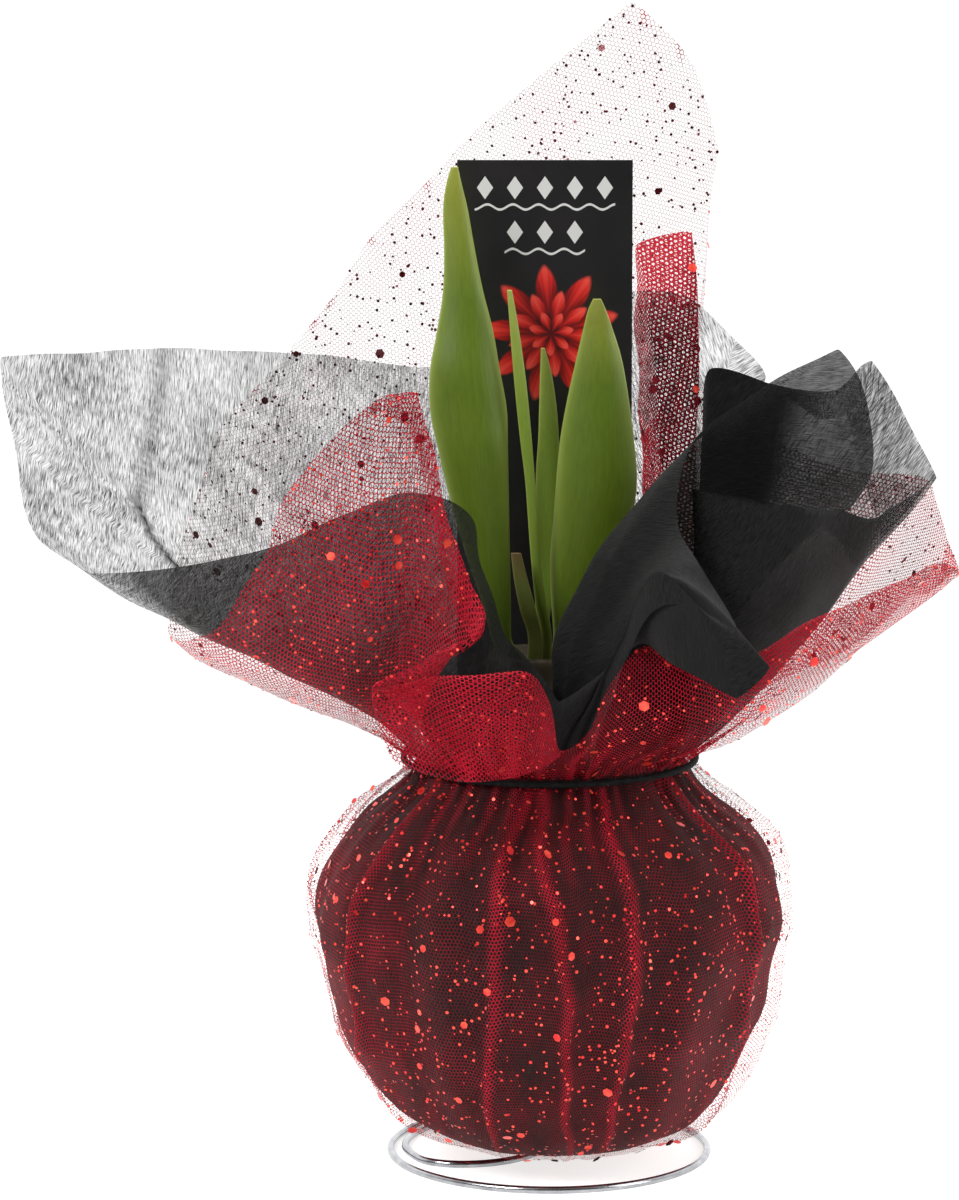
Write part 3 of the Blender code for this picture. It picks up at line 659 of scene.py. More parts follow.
# %% The black fibre cloth
fibre_group, g_in, g_out = make_group(
    "fibre streaks", [("Cloth", "Vector", None), ("Across", "Float", 4200.0), ("Along", "Float", 260.0)],
    [("Streak", "Float"), ("Line", "Float"), ("Cloud", "Float")])
scale = node(fibre_group, "CombineXYZ", (0, g_in.outputs["Across"]), (1, g_in.outputs["Along"]), (2, 1.0))
sway = node(fibre_group, "TexNoise", ("Vector", g_in.outputs["Cloth"]), ("Scale", 170.0), ("Detail", 2.0))
swayed = node(
    fibre_group, "VectorMath", (0, sway.outputs["Color"]), (1, (0.0007, 0.0, 0.0)), (2, g_in.outputs["Cloth"]),
    operation="MULTIPLY_ADD")
place = node(fibre_group, "VectorMath", (0, swayed.outputs[0]), (1, scale.outputs[0]), operation="MULTIPLY")
streak = node(
    fibre_group, "TexNoise", ("Vector", place.outputs[0]), ("Scale", 1.0), ("Detail", 3.0), ("Roughness", 0.65))
cloud = node(
    fibre_group, "TexNoise", ("Vector", g_in.outputs["Cloth"]), ("Scale", 45.0), ("Detail", 5.0))
coarse = node(fibre_group, "VectorMath", (0, place.outputs[0]), (1, (0.4, 0.8, 1.0)), operation="MULTIPLY")
wrinkle = node(
    fibre_group, "TexNoise", ("Vector", coarse.outputs[0]), ("Scale", 1.0), ("Detail", 2.0), ("Roughness", 0.5))
line = maths(fibre_group, "ABSOLUTE", maths(fibre_group, "SUBTRACT", wrinkle.outputs["Fac"], 0.5))
line = maths(fibre_group, "MULTIPLY_ADD", line, -9.0, 1.0, clamp=True)
fibre_group.links.new(line, g_out.inputs["Line"])
fibre_group.links.new(streak.outputs["Fac"], g_out.inputs["Streak"])
fibre_group.links.new(cloud.outputs["Fac"], g_out.inputs["Cloud"])

nonwoven, tree, shader = new_material(
    "black_fibre_cloth", Roughness=0.7, Sheen_Weight=0.02, Sheen_Roughness=0.5, Specular_IOR_Level=0.12)
uv = node(tree, "UVMap", uv_map="cloth").outputs[0]
fibre = node(tree, "Group", node_tree=fibre_group)
tree.links.new(uv, fibre.inputs["Cloth"])
thin = maths(tree, "MULTIPLY_ADD", fibre.outputs["Streak"], 0.8, maths(tree, "MULTIPLY", fibre.outputs["Cloud"], 0.2))
thin = maths(tree, "MULTIPLY_ADD", fibre.outputs["Line"], 0.09, thin)
single = node(tree, "MapRange", (0, thin), (1, 0.43), (2, 0.68), (3, 0.03), (4, 0.95)).outputs[0]
layers = node(tree, "Attribute", attribute_name="layers").outputs["Fac"]
more = maths(tree, "MULTIPLY", maths(tree, "SUBTRACT", 1.0, single), maths(tree, "MAXIMUM", layers, 0.0))
less = maths(tree, "MULTIPLY", single, maths(tree, "MINIMUM", layers, 0.0))
solid = maths(tree, "ADD", maths(tree, "ADD", single, more), less)
tree.links.new(solid, shader.inputs["Alpha"])
height = maths(tree, "MULTIPLY_ADD", fibre.outputs["Line"], 0.4, fibre.outputs["Streak"])
bump = node(tree, "Bump", ("Strength", 0.7), ("Distance", 0.0003), ("Height", height))
tree.links.new(bump.outputs[0], shader.inputs["Normal"])
tree.links.new(
    ramp(tree, fibre.outputs["Streak"], (0.35, (0.0015, 0.0015, 0.0017)), (0.68, (0.014, 0.014, 0.0135))),
    shader.inputs["Base Color"])
dress(black_cloth, nonwoven)
print("fibre cloth done")

# %% [markdown]
# Net is a honeycomb of thread. A node group turns metres of cloth into the
# distance from the nearest cell wall, and alpha keeps the walls alone.

# %% The red net
net_group, g_in, g_out = make_group(
    "honeycomb", [("Cloth", "Vector", None), ("Cell", "Float", 0.00115)], [("Wall", "Float")])
cells = node(net_group, "VectorMath", (0, g_in.outputs["Cloth"]), (1, (1.0, 1 / 1.732, 1.0)), operation="MULTIPLY")
size = node(net_group, "CombineXYZ", *[(k, g_in.outputs["Cell"]) for k in range(3)])
cells = node(net_group, "VectorMath", (0, cells.outputs[0]), (1, size.outputs[0]), operation="DIVIDE")


def nearest_centre(shift):
    moved = node(net_group, "VectorMath", (0, cells.outputs[0]), (1, (shift, shift, 0)), operation="ADD")
    part = node(net_group, "VectorMath", (0, moved.outputs[0]), operation="FRACTION")
    part = node(net_group, "VectorMath", (0, part.outputs[0]), (1, (0.5, 0.5, 0)), operation="SUBTRACT")
    part = node(net_group, "VectorMath", (0, part.outputs[0]), (1, (1.0, 1.732, 0)), operation="MULTIPLY")
    return part.outputs[0], node(net_group, "VectorMath", (0, part.outputs[0]), operation="LENGTH").outputs["Value"]


first_cell, first_far = nearest_centre(0.0)
second_cell, second_far = nearest_centre(0.5)
pick = maths(net_group, "LESS_THAN", second_far, first_far)
cell = node(net_group, "Mix", (0, pick), (4, first_cell), (5, second_cell), data_type="VECTOR")
cell = node(net_group, "VectorMath", (0, cell.outputs[1]), operation="ABSOLUTE")
split = node(net_group, "SeparateXYZ", (0, cell.outputs[0]))
slant = maths(
    net_group, "ADD", maths(net_group, "MULTIPLY", split.outputs[0], 0.5),
    maths(net_group, "MULTIPLY", split.outputs[1], 0.866))
net_group.links.new(maths(net_group, "MAXIMUM", slant, split.outputs[0]), g_out.inputs["Wall"])

tulle, tree, shader = new_material("red_net", Roughness=0.6, Specular_IOR_Level=0.06)
uv = node(tree, "UVMap", uv_map="cloth").outputs[0]
comb = node(tree, "Group", node_tree=net_group)
tree.links.new(uv, comb.inputs["Cloth"])
uneven = node(tree, "TexNoise", ("Vector", uv), ("Scale", 60.0), ("Detail", 2.0))
# on the net the layer value also holds painted shade under the collar
layers = node(tree, "Attribute", attribute_name="layers").outputs["Fac"]
own = maths(tree, "MULTIPLY_ADD", maths(tree, "MINIMUM", layers, 0.5), -0.14, 0.478)
thread = maths(tree, "MULTIPLY_ADD", uneven.outputs["Fac"], -0.03, own)
over = node(tree, "VectorRotate", ("Vector", uv), ("Angle", 0.4), rotation_type="Z_AXIS")
second = node(tree, "Group", ("Cloth", over.outputs[0]), node_tree=net_group)
other = maths(tree, "MULTIPLY_ADD", maths(tree, "MAXIMUM", maths(tree, "SUBTRACT", layers, 0.5), 0.0), -0.22, 0.5)
walls = [
    maths(tree, "GREATER_THAN", comb.outputs["Wall"], thread), maths(tree, "GREATER_THAN", second.outputs["Wall"], other)]
tree.links.new(maths(tree, "MAXIMUM", *walls), shader.inputs["Alpha"])
# The red follows the layer value. It is darker where the value is low, which is painted shade over the middle of the
# bag, between its ridges and under the collar. It is brighter where many nets lie over each other.
deep = maths(tree, "MAXIMUM", maths(tree, "SUBTRACT", layers, 0.6), 0.0)
thin = maths(tree, "MULTIPLY", maths(tree, "MINIMUM", maths(tree, "SUBTRACT", layers, 0.25), 0.0), 0.9)
tone_and_shade = maths(tree, "ADD", maths(tree, "MULTIPLY_ADD", deep, 0.5, uneven.outputs["Fac"]), thin)
tree.links.new(
    ramp(
        tree, tone_and_shade, (0.0, (0.09, 0.002, 0.005)), (0.35, (0.27, 0.004, 0.012)), (0.7, (0.44, 0.009, 0.026)),
        (1.0, (0.58, 0.025, 0.045))),
    shader.inputs["Base Color"])
dress(red_net, tulle)
print("net done")

# %% [markdown]
# Glitter is punched from red metal foil as little hexagons and glued to the
# net. Each is a real hexagon, laid on the net with a small tilt of its own.

# %% Glitter on the net
SMALL_COUNT = 9000
LARGE_COUNT = 250


def scattered(points, count, random):
    """Places on the sheet, spread evenly by area, with the sheet's normal there."""
    a, b, c, d = points[:-1, :-1], points[1:, :-1], points[:-1, 1:], points[1:, 1:]
    normal = np.cross(d - a, b - c).reshape(-1, 3)
    area = np.linalg.norm(normal, axis=-1)
    which = random.choice(len(area), count, p=area / area.sum())
    f, g = random.uniform(size=(2, count, 1))
    corners = [x.reshape(-1, 3)[which] for x in (a, b, c, d)]
    place = (corners[0] * (1 - f) + corners[1] * f) * (1 - g) + (corners[2] * (1 - f) + corners[3] * f) * g
    bulge = (points[BAG_ROWS // 2, 0] * np.array([1, 1, 0])) @ normal.reshape(*points[:-1, :-1].shape)[BAG_ROWS // 2, 0]
    return place, normal[which] / area[which][:, None] * np.sign(bulge)


def glitter(name, count, radius, least, lift, seed):
    random = np.random.default_rng(seed)
    places, normals = scattered(net_points, count, random)
    tilted = normals + random.normal(size=(count, 3)) * 0.16
    first = np.cross(tilted, random.normal(size=(count, 3)))
    first /= np.linalg.norm(first, axis=-1, keepdims=True)
    second = np.cross(tilted, first)
    second /= np.linalg.norm(second, axis=-1, keepdims=True)
    sizes = radius * random.uniform(least, 1.1, size=(count, 1, 1))
    turn = np.arange(6)[None, :, None] * math.pi / 3
    ring = first[:, None] * np.cos(turn) + second[:, None] * np.sin(turn)
    corners = row_frame((places + normals * lift)[:, None] + ring * sizes)
    bm = bmesh.new()
    bmesh.ops.create_circle(bm, cap_ends=True, segments=6, radius=1.0)
    while len(bm.faces) < count:
        spare = count - len(bm.faces)
        bmesh.ops.duplicate(bm, geom=[part for face in bm.faces[:spare] for part in (face, *face.edges, *face.verts)])
        bm.faces.ensure_lookup_table()
    for face, places in zip(bm.faces, corners):
        for vert, place in zip(face.verts, places):
            vert.co = place
    bm.normal_update()
    mesh = bpy.data.meshes.new(name)
    bm.to_mesh(mesh)
    bm.free()
    obj = bpy.data.objects.new(name, mesh)
    bpy.context.collection.objects.link(obj)
    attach(obj, "root")
    return obj


small_glitter = glitter("glitter_small", SMALL_COUNT, 0.4, 0.4, 0.12, 21)
large_glitter = glitter("glitter_large", LARGE_COUNT, 1.2, 0.6, 0.3, 22)
foil, tree, shader = new_material("red_foil", Metallic=0.55, Roughness=0.3)
spot_noise = node(tree, "TexNoise", ("Vector", node(tree, "TexCoord").outputs["Object"]), ("Scale", 400.0))
front = ramp(tree, spot_noise.outputs["Fac"], (0.35, (0.62, 0.012, 0.015)), (0.65, (0.95, 0.09, 0.05)))
# the back of each hexagon is near-black red: painted shade for the side that faces away from the light
behind = node(tree, "NewGeometry").outputs["Backfacing"]
tree.links.new(
    node(tree, "Mix", (0, behind), (6, front), (7, (0.05, 0.004, 0.006, 1)), data_type="RGBA").outputs[2],
    shader.inputs["Base Color"])
for obj in (small_glitter, large_glitter):
    dress(obj, foil)
print("glitter", SMALL_COUNT, "+", LARGE_COUNT)

# %% [markdown]
# Leaves are read off the photograph as stations: height, left and right edge
# and depth. A smooth curve through the stations, and a thin crescent section,
# give the blade. UV runs across and along it for the veins.

# %% Leaves
LEAF_FOOT = 111.3


def seen_leaf(rows, base):
    stations = list(base)
    for v, left, right, depth in rows:
        a = spots(left, v, depth)
        b = spots(right, v, depth)
        stations.append(((a[0] + b[0]) / 2, depth, a[2], b[0] - a[0]))
    return np.array(stations)


def smooth_tube(name, around_count, along_count, place):
    """A grid rolled into a closed tube; place(i, j) gives arrays of points."""
    bm = bmesh.new()
    layer = bm.loops.layers.uv.new("length")
    bmesh.ops.create_grid(bm, x_segments=around_count, y_segments=along_count, size=0.5)
    for face in bm.faces:
        face.smooth = True
        for loop in face.loops:
            loop[layer].uv = (loop.vert.co.x + 0.5, loop.vert.co.y + 0.5)
    i = np.array([round((v.co.x + 0.5) * around_count) for v in bm.verts])
    j = np.array([round((v.co.y + 0.5) * along_count) for v in bm.verts])
    points = row_frame(place(i / around_count, j / along_count))
    for vert, point in zip(bm.verts, points):
        vert.co = point
    bmesh.ops.remove_doubles(bm, verts=[v for v in bm.verts if v.is_boundary], dist=0.000002)
    bmesh.ops.holes_fill(bm, edges=[e for e in bm.edges if e.is_boundary], sides=0)
    bmesh.ops.recalc_face_normals(bm, faces=bm.faces)
    mesh = bpy.data.meshes.new(name)
    bm.to_mesh(mesh)
    bm.free()
    obj = bpy.data.objects.new(name, mesh)
    bpy.context.collection.objects.link(obj)
    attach(obj, "root")
    return obj


def blade(name, stations, thick, cup, rows=110):
    def place(i, j):
        x, y, z, width = along(stations, j).T
        turn = 2 * math.pi * i
        f = np.cos(turn)
        half = 0.5 * np.minimum(thick, 0.8 + 0.22 * width) * np.sign(np.sin(turn)) * np.abs(np.sin(turn)) ** 0.8
        rise = cup * (width / 18.0) ** 2 * (1 - f * f)
        return np.stack([x + 0.5 * width * f, y - rise - half, z], -1)
    return smooth_tube(name, 28, rows, place)


LEAVES = {
    "leaf_broad_left": ([
        (640, 492, 512, -1), (600, 481, 511, -1), (555, 466, 510, -1), (500, 450, 509, -1),
        (450, 438, 508, -1), (410, 430, 507, 0), (370, 430, 500, 0), (330, 437, 493, 1),
        (290, 443, 483, 2), (250, 444, 475, 3), (210, 443, 468, 4), (185, 446, 462, 4),
        (167, 451, 458, 4),
    ], [(-8.6, -0.5, LEAF_FOOT, 4.6), (-9.0, -0.5, 118.5, 5.4)], 2.6, 2.4),
    "leaf_broad_right": ([
        (640, 553, 582, 1), (600, 551, 606, 1), (560, 550, 622, 1), (520, 553, 632, 1),
        (480, 556, 637, 1), (440, 560, 634, 1), (400, 567, 629, 1), (360, 576, 622, 1),
        (330, 583, 613, 1), (310, 588, 606, 0), (299, 593, 601, -1),
    ], [(2.0, 1.0, LEAF_FOOT, 5.6), (2.2, 1.0, 118.5, 6.2)], 2.6, 2.4),
    "leaf_thin_front": ([
        (640, 541, 552, -3), (600, 535, 546, -4), (560, 531, 540, -4), (520, 528, 538, -4),
        (480, 525, 535, -4), (430, 519, 531, -4), (380, 514, 526, -4), (330, 510, 519, -4),
        (290, 507, 512, -4),
    ], [(-1.8, -3.0, LEAF_FOOT, 3.0)], 1.3, 0.3),
    "leaf_thin_back": ([
        (640, 536, 548, 5), (600, 535, 552, 6), (560, 535, 557, 7), (510, 535, 560, 7),
        (470, 536, 560, 7), (440, 538, 559, 7), (410, 539, 557, 7), (375, 540, 552, 7),
        (348, 541, 545, 7),
    ], [(-2.0, 5.0, LEAF_FOOT, 4.0)], 1.3, 0.3),
    "sheath": ([
        (640, 528, 542, -6.0), (610, 520, 536, -8), (580, 514, 528, -8.6), (553, 511, 521, -8.8),
    ], [(-4.0, -5.6, LEAF_FOOT, 4.4)], 1.0, 0.3),
}

leaf_group, g_in, g_out = make_group(
    "leaf veins", [("Blade", "Vector", None)], [("Vein", "Float"), ("Margin", "Float"), ("Up", "Float")])
split = node(leaf_group, "SeparateXYZ", (0, g_in.outputs["Blade"]))
side = maths(leaf_group, "COSINE", maths(leaf_group, "MULTIPLY", split.outputs[0], 2 * math.pi))
veins = maths(leaf_group, "SINE", maths(leaf_group, "MULTIPLY", side, 55.0))
stretched = node(leaf_group, "CombineXYZ", (0, side), (1, maths(leaf_group, "MULTIPLY", split.outputs[1], 3.0)))
streak = node(leaf_group, "TexNoise", ("Vector", stretched.outputs[0]), ("Scale", 9.0), ("Detail", 4.0))
leaf_group.links.new(maths(leaf_group, "MULTIPLY_ADD", veins, 0.05, streak.outputs["Fac"]), g_out.inputs["Vein"])
leaf_group.links.new(maths(leaf_group, "POWER", maths(leaf_group, "ABSOLUTE", side), 6.0), g_out.inputs["Margin"])
leaf_group.links.new(split.outputs[1], g_out.inputs["Up"])


def leaf_material(name, base, middle, tip, rim_highlight):
    made, tree, shader = new_material(
        name, Roughness=0.42, Subsurface_Weight=0.12, Subsurface_Scale=0.002, Specular_IOR_Level=0.35)
    uv = node(tree, "UVMap", uv_map="length").outputs[0]
    veins = node(tree, "Group", node_tree=leaf_group)
    tree.links.new(uv, veins.inputs["Blade"])
    # Along the leaf the foot is darker, which is painted shade where the wrap closes over it. The green leaves grow
    # lighter towards the tip, partly a paler tip and partly painted highlight.
    colour = ramp(tree, veins.outputs["Up"], (0.0, base), (0.22, middle), (0.7, middle), (0.97, tip))
    dark = ramp(tree, veins.outputs["Vein"], (0.2, (0.84, 0.86, 0.80)), (0.75, (1.1, 1.1, 1.1)))
    colour = node(tree, "Mix", (0, 1.0), (6, colour), (7, dark), data_type="RGBA", blend_type="MULTIPLY").outputs[2]
    # both edges of the blade are made lighter: painted highlight from the light at the sides and behind
    edge = maths(tree, "MULTIPLY", veins.outputs["Margin"], 0.75)
    colour = node(tree, "Mix", (0, edge), (6, colour), (7, (*rim_highlight, 1)), data_type="RGBA").outputs[2]
    tree.links.new(colour, shader.inputs["Base Color"])
    bump = node(tree, "Bump", ("Strength", 0.25), ("Distance", 0.0002), ("Height", veins.outputs["Vein"]))
    tree.links.new(bump.outputs[0], shader.inputs["Normal"])
    return made


# Each look gives the foot colour, darkened as painted shade, then the middle and tip colours, then the rim colour,
# lightened as painted highlight.
LEAF_LOOKS = {
    "leaf_green": leaf_material(
        "leaf_green", (0.05, 0.05, 0.012), (0.092, 0.145, 0.008), (0.26, 0.28, 0.04), (0.26, 0.33, 0.06)),
    "young_leaf_green": leaf_material(
        "young_leaf_green", (0.14, 0.13, 0.03), (0.16, 0.24, 0.025), (0.26, 0.32, 0.06), (0.30, 0.36, 0.08)),
    "sheath_olive": leaf_material(
        "sheath_olive", (0.12, 0.10, 0.03), (0.15, 0.19, 0.035), (0.14, 0.09, 0.035), (0.22, 0.20, 0.07)),
}
LEAF_SLOTS = {
    "leaf_broad_left": "leaf_green", "leaf_broad_right": "leaf_green",
    "leaf_thin_front": "young_leaf_green", "leaf_thin_back": "young_leaf_green", "sheath": "sheath_olive",
}
for name, (rows, base, thick, cup) in LEAVES.items():
    leaf = blade("grown_" + name, seen_leaf(rows, base), thick, cup)
    dress(leaf, LEAF_LOOKS[LEAF_SLOTS[name]])
    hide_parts(name)
print("leaves:", len(LEAVES))

# %% [markdown]
# The bulb is onion-like: a turned shape under papery brown scales, with a
# greenish neck. It is spun from half an outline, as on a lathe.

# %% Bulb
BULB_OUTLINE = [
    (0.0, 25.0), (1.4, 24.6), (1.4, 4.6), (17.0, 5.0), (27.0, 9.0), (36.5, 17.0), (42.5, 28.0),
    (45.5, 42.0), (45.5, 54.0), (42.0, 67.0), (35.5, 80.0), (28.0, 91.0), (20.5, 101.0),
    (15.0, 108.0), (12.6, 114.0), (11.6, 118.6), (10.9, 119.8), (9.6, 119.6), (9.6, 111.0), (0.0, 111.0),
]


def bulb_outline():
    hole, skin, top = BULB_OUTLINE[:3], BULB_OUTLINE[3:17], BULB_OUTLINE[17:]
    fine = along(skin, np.linspace(0, 1, 90))
    return [*hole, *[tuple(p) for p in fine], *top]


bm = bmesh.new()
corners = [bm.verts.new((r * MM, 0.0, z * MM)) for r, z in bulb_outline()]
edges = [bm.edges.new(pair) for pair in zip(corners, corners[1:])]
bmesh.ops.spin(
    bm, geom=corners + edges, axis=(0, 0, 1), cent=(0, 0, 0), angle=2 * math.pi, steps=120, use_merge=True)
bmesh.ops.remove_doubles(bm, verts=bm.verts, dist=0.000002)
for vert in bm.verts:
    x, y, z = (c / MM for c in vert.co)
    r = math.hypot(x, y)
    if r > 11.0 and z > 6.0:
        a = math.atan2(y, x)
        pull = 1 - 0.006 * (1 + math.sin(9 * a + z * 0.05)) - 0.004 * (1 + math.sin(23 * a + 1.3))
        x, y = x * pull, y * pull
    x += -3.0 * min(1.0, max(0.0, (z - 60.0) / 50.0))
    vert.co = row_frame(np.array([x, y, z]))
for face in bm.faces:
    face.smooth = True
bmesh.ops.recalc_face_normals(bm, faces=bm.faces)
mesh = bpy.data.meshes.new("papery_bulb")
bm.to_mesh(mesh)
bm.free()
bulb = bpy.data.objects.new("papery_bulb", mesh)
bpy.context.collection.objects.link(bulb)
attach(bulb, "root")
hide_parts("bulb")

papery, tree, shader = new_material("papery_scales", Roughness=0.55, Specular_IOR_Level=0.4)
where = node(tree, "TexCoord").outputs["Object"]
centred = node(tree, "VectorMath", (0, where), (1, (AXIS_X, AXIS_Y, 0)), operation="SUBTRACT").outputs[0]
split = node(tree, "SeparateXYZ", (0, centred))
turn = maths(tree, "ARCTAN2", split.outputs[1], split.outputs[0])
wrapped = node(tree, "CombineXYZ", (0, turn), (1, maths(tree, "MULTIPLY", split.outputs[2], 6.0)))
grain = node(tree, "TexNoise", ("Vector", wrapped.outputs[0]), ("Scale", 14.0), ("Detail", 6.0), ("Roughness", 0.6))
brown = ramp(
    tree, grain.outputs["Fac"], (0.3, (0.10, 0.035, 0.012)), (0.5, (0.27, 0.12, 0.045)), (0.7, (0.42, 0.24, 0.11)))
high = node(tree, "MapRange", (0, split.outputs[2]), (1, 0.088), (2, 0.112))
colour = node(tree, "Mix", (0, high.outputs[0]), (6, brown), (7, (0.055, 0.04, 0.018, 1)), data_type="RGBA").outputs[2]
tree.links.new(colour, shader.inputs["Base Color"])
bump = node(tree, "Bump", ("Strength", 0.5), ("Distance", 0.0006), ("Height", grain.outputs["Fac"]))
tree.links.new(bump.outputs[0], shader.inputs["Normal"])
dress(bulb, papery)
print("bulb done")

# %% [markdown]
# The stand is one bent wire: a ring on the table, a turn inside it, a run to
# the middle and a spike up into the bulb. A round section carried along the
# wire's path gives it, and a polished metal finish suits it.

# %% Wire stand
WIRE_D = 1.8
RISER_TOP = 24.0


def wire_path():
    low = WIRE_D / 2 - 0.12
    path = [(37.4, 130 + 8 * k) for k in range(39)]
    path += [
        (37.2, 442), (36.8, 450), (36.3, 458), (35.8, 466), (35.4, 474), (35.1, 482), (34.9, 490),
        (34.7, 500), (34.5, 510), (34.3, 520), (34.2, 530), (33.9, 540), (32.8, 550),
    ]
    path = [(r * math.cos(math.radians(a)), r * math.sin(math.radians(a)), low) for r, a in path]
    path += [(x, y, low) for x, y in (
        (-29.6, -11.2), (-25.6, -14.0), (-20.6, -15.0), (-15.0, -14.2), (-9.5, -11.6), (-5.6, -8.0))]
    way = np.array([0.57, 0.82]) / math.hypot(0.57, 0.82)
    for k in range(5):
        a = math.radians(90 * k / 4)
        x, y = way * 2.4 * (math.sin(a) - 1)
        path.append((x, y, low + 2.4 * (1 - math.cos(a))))
    path += [(0.0, 0.0, RISER_TOP * f) for f in (0.35, 0.6, 0.8, 1.0)]
    return np.array(path)


WIRE = wire_path()


def wire_place(i, j):
    middle = along(WIRE, j)
    ahead = along(WIRE, np.minimum(j + 0.002, 1)) - along(WIRE, np.maximum(j - 0.002, 0))
    ahead /= np.linalg.norm(ahead, axis=-1, keepdims=True)
    side = np.stack([ahead[:, 1], -ahead[:, 0], 0 * ahead[:, 0]], -1)
    side = np.where(np.linalg.norm(side, axis=-1, keepdims=True) > 0.05, side, np.array([0.82, -0.57, 0.0]))
    side /= np.linalg.norm(side, axis=-1, keepdims=True)
    lift = np.cross(side, ahead)
    turn = (2 * math.pi * i)[:, None]
    points = middle + (side * np.cos(turn) + lift * np.sin(turn)) * (WIRE_D / 2)
    points[:, 2] = np.maximum(points[:, 2], 0.0)
    return points


wire = smooth_tube("bent_wire", 16, 420, wire_place)
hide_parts("wire_stand")
chrome, tree, shader = new_material("polished_wire", Metallic=1.0)
drawn = node(tree, "TexNoise", ("Vector", node(tree, "TexCoord").outputs["Object"]), ("Scale", 260.0), ("Detail", 3.0))
tree.links.new(
    ramp(tree, drawn.outputs["Fac"], (0.3, (0.30, 0.31, 0.33)), (0.7, (0.48, 0.49, 0.51))), shader.inputs["Base Color"])
tree.links.new(maths(tree, "MULTIPLY_ADD", drawn.outputs["Fac"], 0.2, 0.08), shader.inputs["Roughness"])
dress(wire, chrome)
print("wire", len(WIRE), "points")

# %% [markdown]
# A thin elastic is wound round the neck and hides in the gathers. It is a ring
# with a twist pressed into its surface.

# %% Neck tie
TIE_R = (TIE_HIGH.x - TIE_LOW.x) / 2 / MM - 0.8
TIE_Z = (TIE_HIGH.z + TIE_LOW.z) / 2 / MM


def tie_place(i, j):
    ring = 2 * math.pi * j
    turn = 2 * math.pi * i
    r = 0.8 * (1 - 0.10 * (0.5 + 0.5 * np.cos(3 * turn + 60 * ring)))
    out = TIE_R + r * np.cos(turn)
    return np.stack([out * np.cos(ring), out * np.sin(ring), TIE_Z + r * np.sin(turn)], -1)


def ring_object(name, around_count, along_count, place):
    bm = bmesh.new()
    bmesh.ops.create_grid(bm, x_segments=around_count, y_segments=along_count, size=0.5)
    i = np.array([round((v.co.x + 0.5) * around_count) for v in bm.verts]) / around_count
    j = np.array([round((v.co.y + 0.5) * along_count) for v in bm.verts]) / along_count
    for vert, point in zip(bm.verts, row_frame(place(i, j))):
        vert.co = point
    bmesh.ops.remove_doubles(bm, verts=[v for v in bm.verts if v.is_boundary], dist=0.000002)
    bmesh.ops.recalc_face_normals(bm, faces=bm.faces)
    for face in bm.faces:
        face.smooth = True
    mesh = bpy.data.meshes.new(name)
    bm.to_mesh(mesh)
    bm.free()
    obj = bpy.data.objects.new(name, mesh)
    bpy.context.collection.objects.link(obj)
    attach(obj, "root")
    return obj


tie = ring_object("elastic_tie", 12, 720, tie_place)
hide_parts("neck_tie")
elastic, tree, shader = new_material("black_elastic", Roughness=0.8, Specular_IOR_Level=0.1)
nap = node(tree, "TexNoise", ("Vector", node(tree, "TexCoord").outputs["Object"]), ("Scale", 900.0))
tree.links.new(
    ramp(tree, nap.outputs["Fac"], (0.3, (0.002, 0.002, 0.002)), (0.7, (0.009, 0.009, 0.009))), shader.inputs["Base Color"])
dress(tie, elastic)
print("tie radius", round(TIE_R, 1))

# %% [markdown]
# The picture card is pushed in among the leaves. It is thin board, a little
# bowed, near-black, with a plain red bloom and a white ornament of its own design.

# %% Card
CARD_LOW, CARD_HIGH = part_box("card_tag")
bm = bmesh.new()
bmesh.ops.create_grid(bm, x_segments=12, y_segments=40, size=0.5)
for vert in bm.verts:
    f, g = vert.co.x + 0.5, vert.co.y + 0.5
    bow = 0.0002 * math.cos(math.pi * (f - 0.5))
    vert.co = (
        CARD_LOW.x + (CARD_HIGH.x - CARD_LOW.x) * f, (CARD_LOW.y + CARD_HIGH.y) / 2 - bow,
        CARD_LOW.z + (CARD_HIGH.z - CARD_LOW.z) * g)
bm.normal_update()
bmesh.ops.solidify(bm, geom=bm.faces[:], thickness=0.0004)
bmesh.ops.recalc_face_normals(bm, faces=bm.faces)
mesh = bpy.data.meshes.new("picture_card")
bm.to_mesh(mesh)
bm.free()
card = bpy.data.objects.new("picture_card", mesh)
bpy.context.collection.objects.link(card)
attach(card, "root")
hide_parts("card_tag")
print("card", [round(x, 4) for x in CARD_HIGH - CARD_LOW])

board, tree, shader = new_material("printed_board", Roughness=0.35, Coat_Weight=0.15)
where = node(tree, "TexCoord").outputs["Object"]


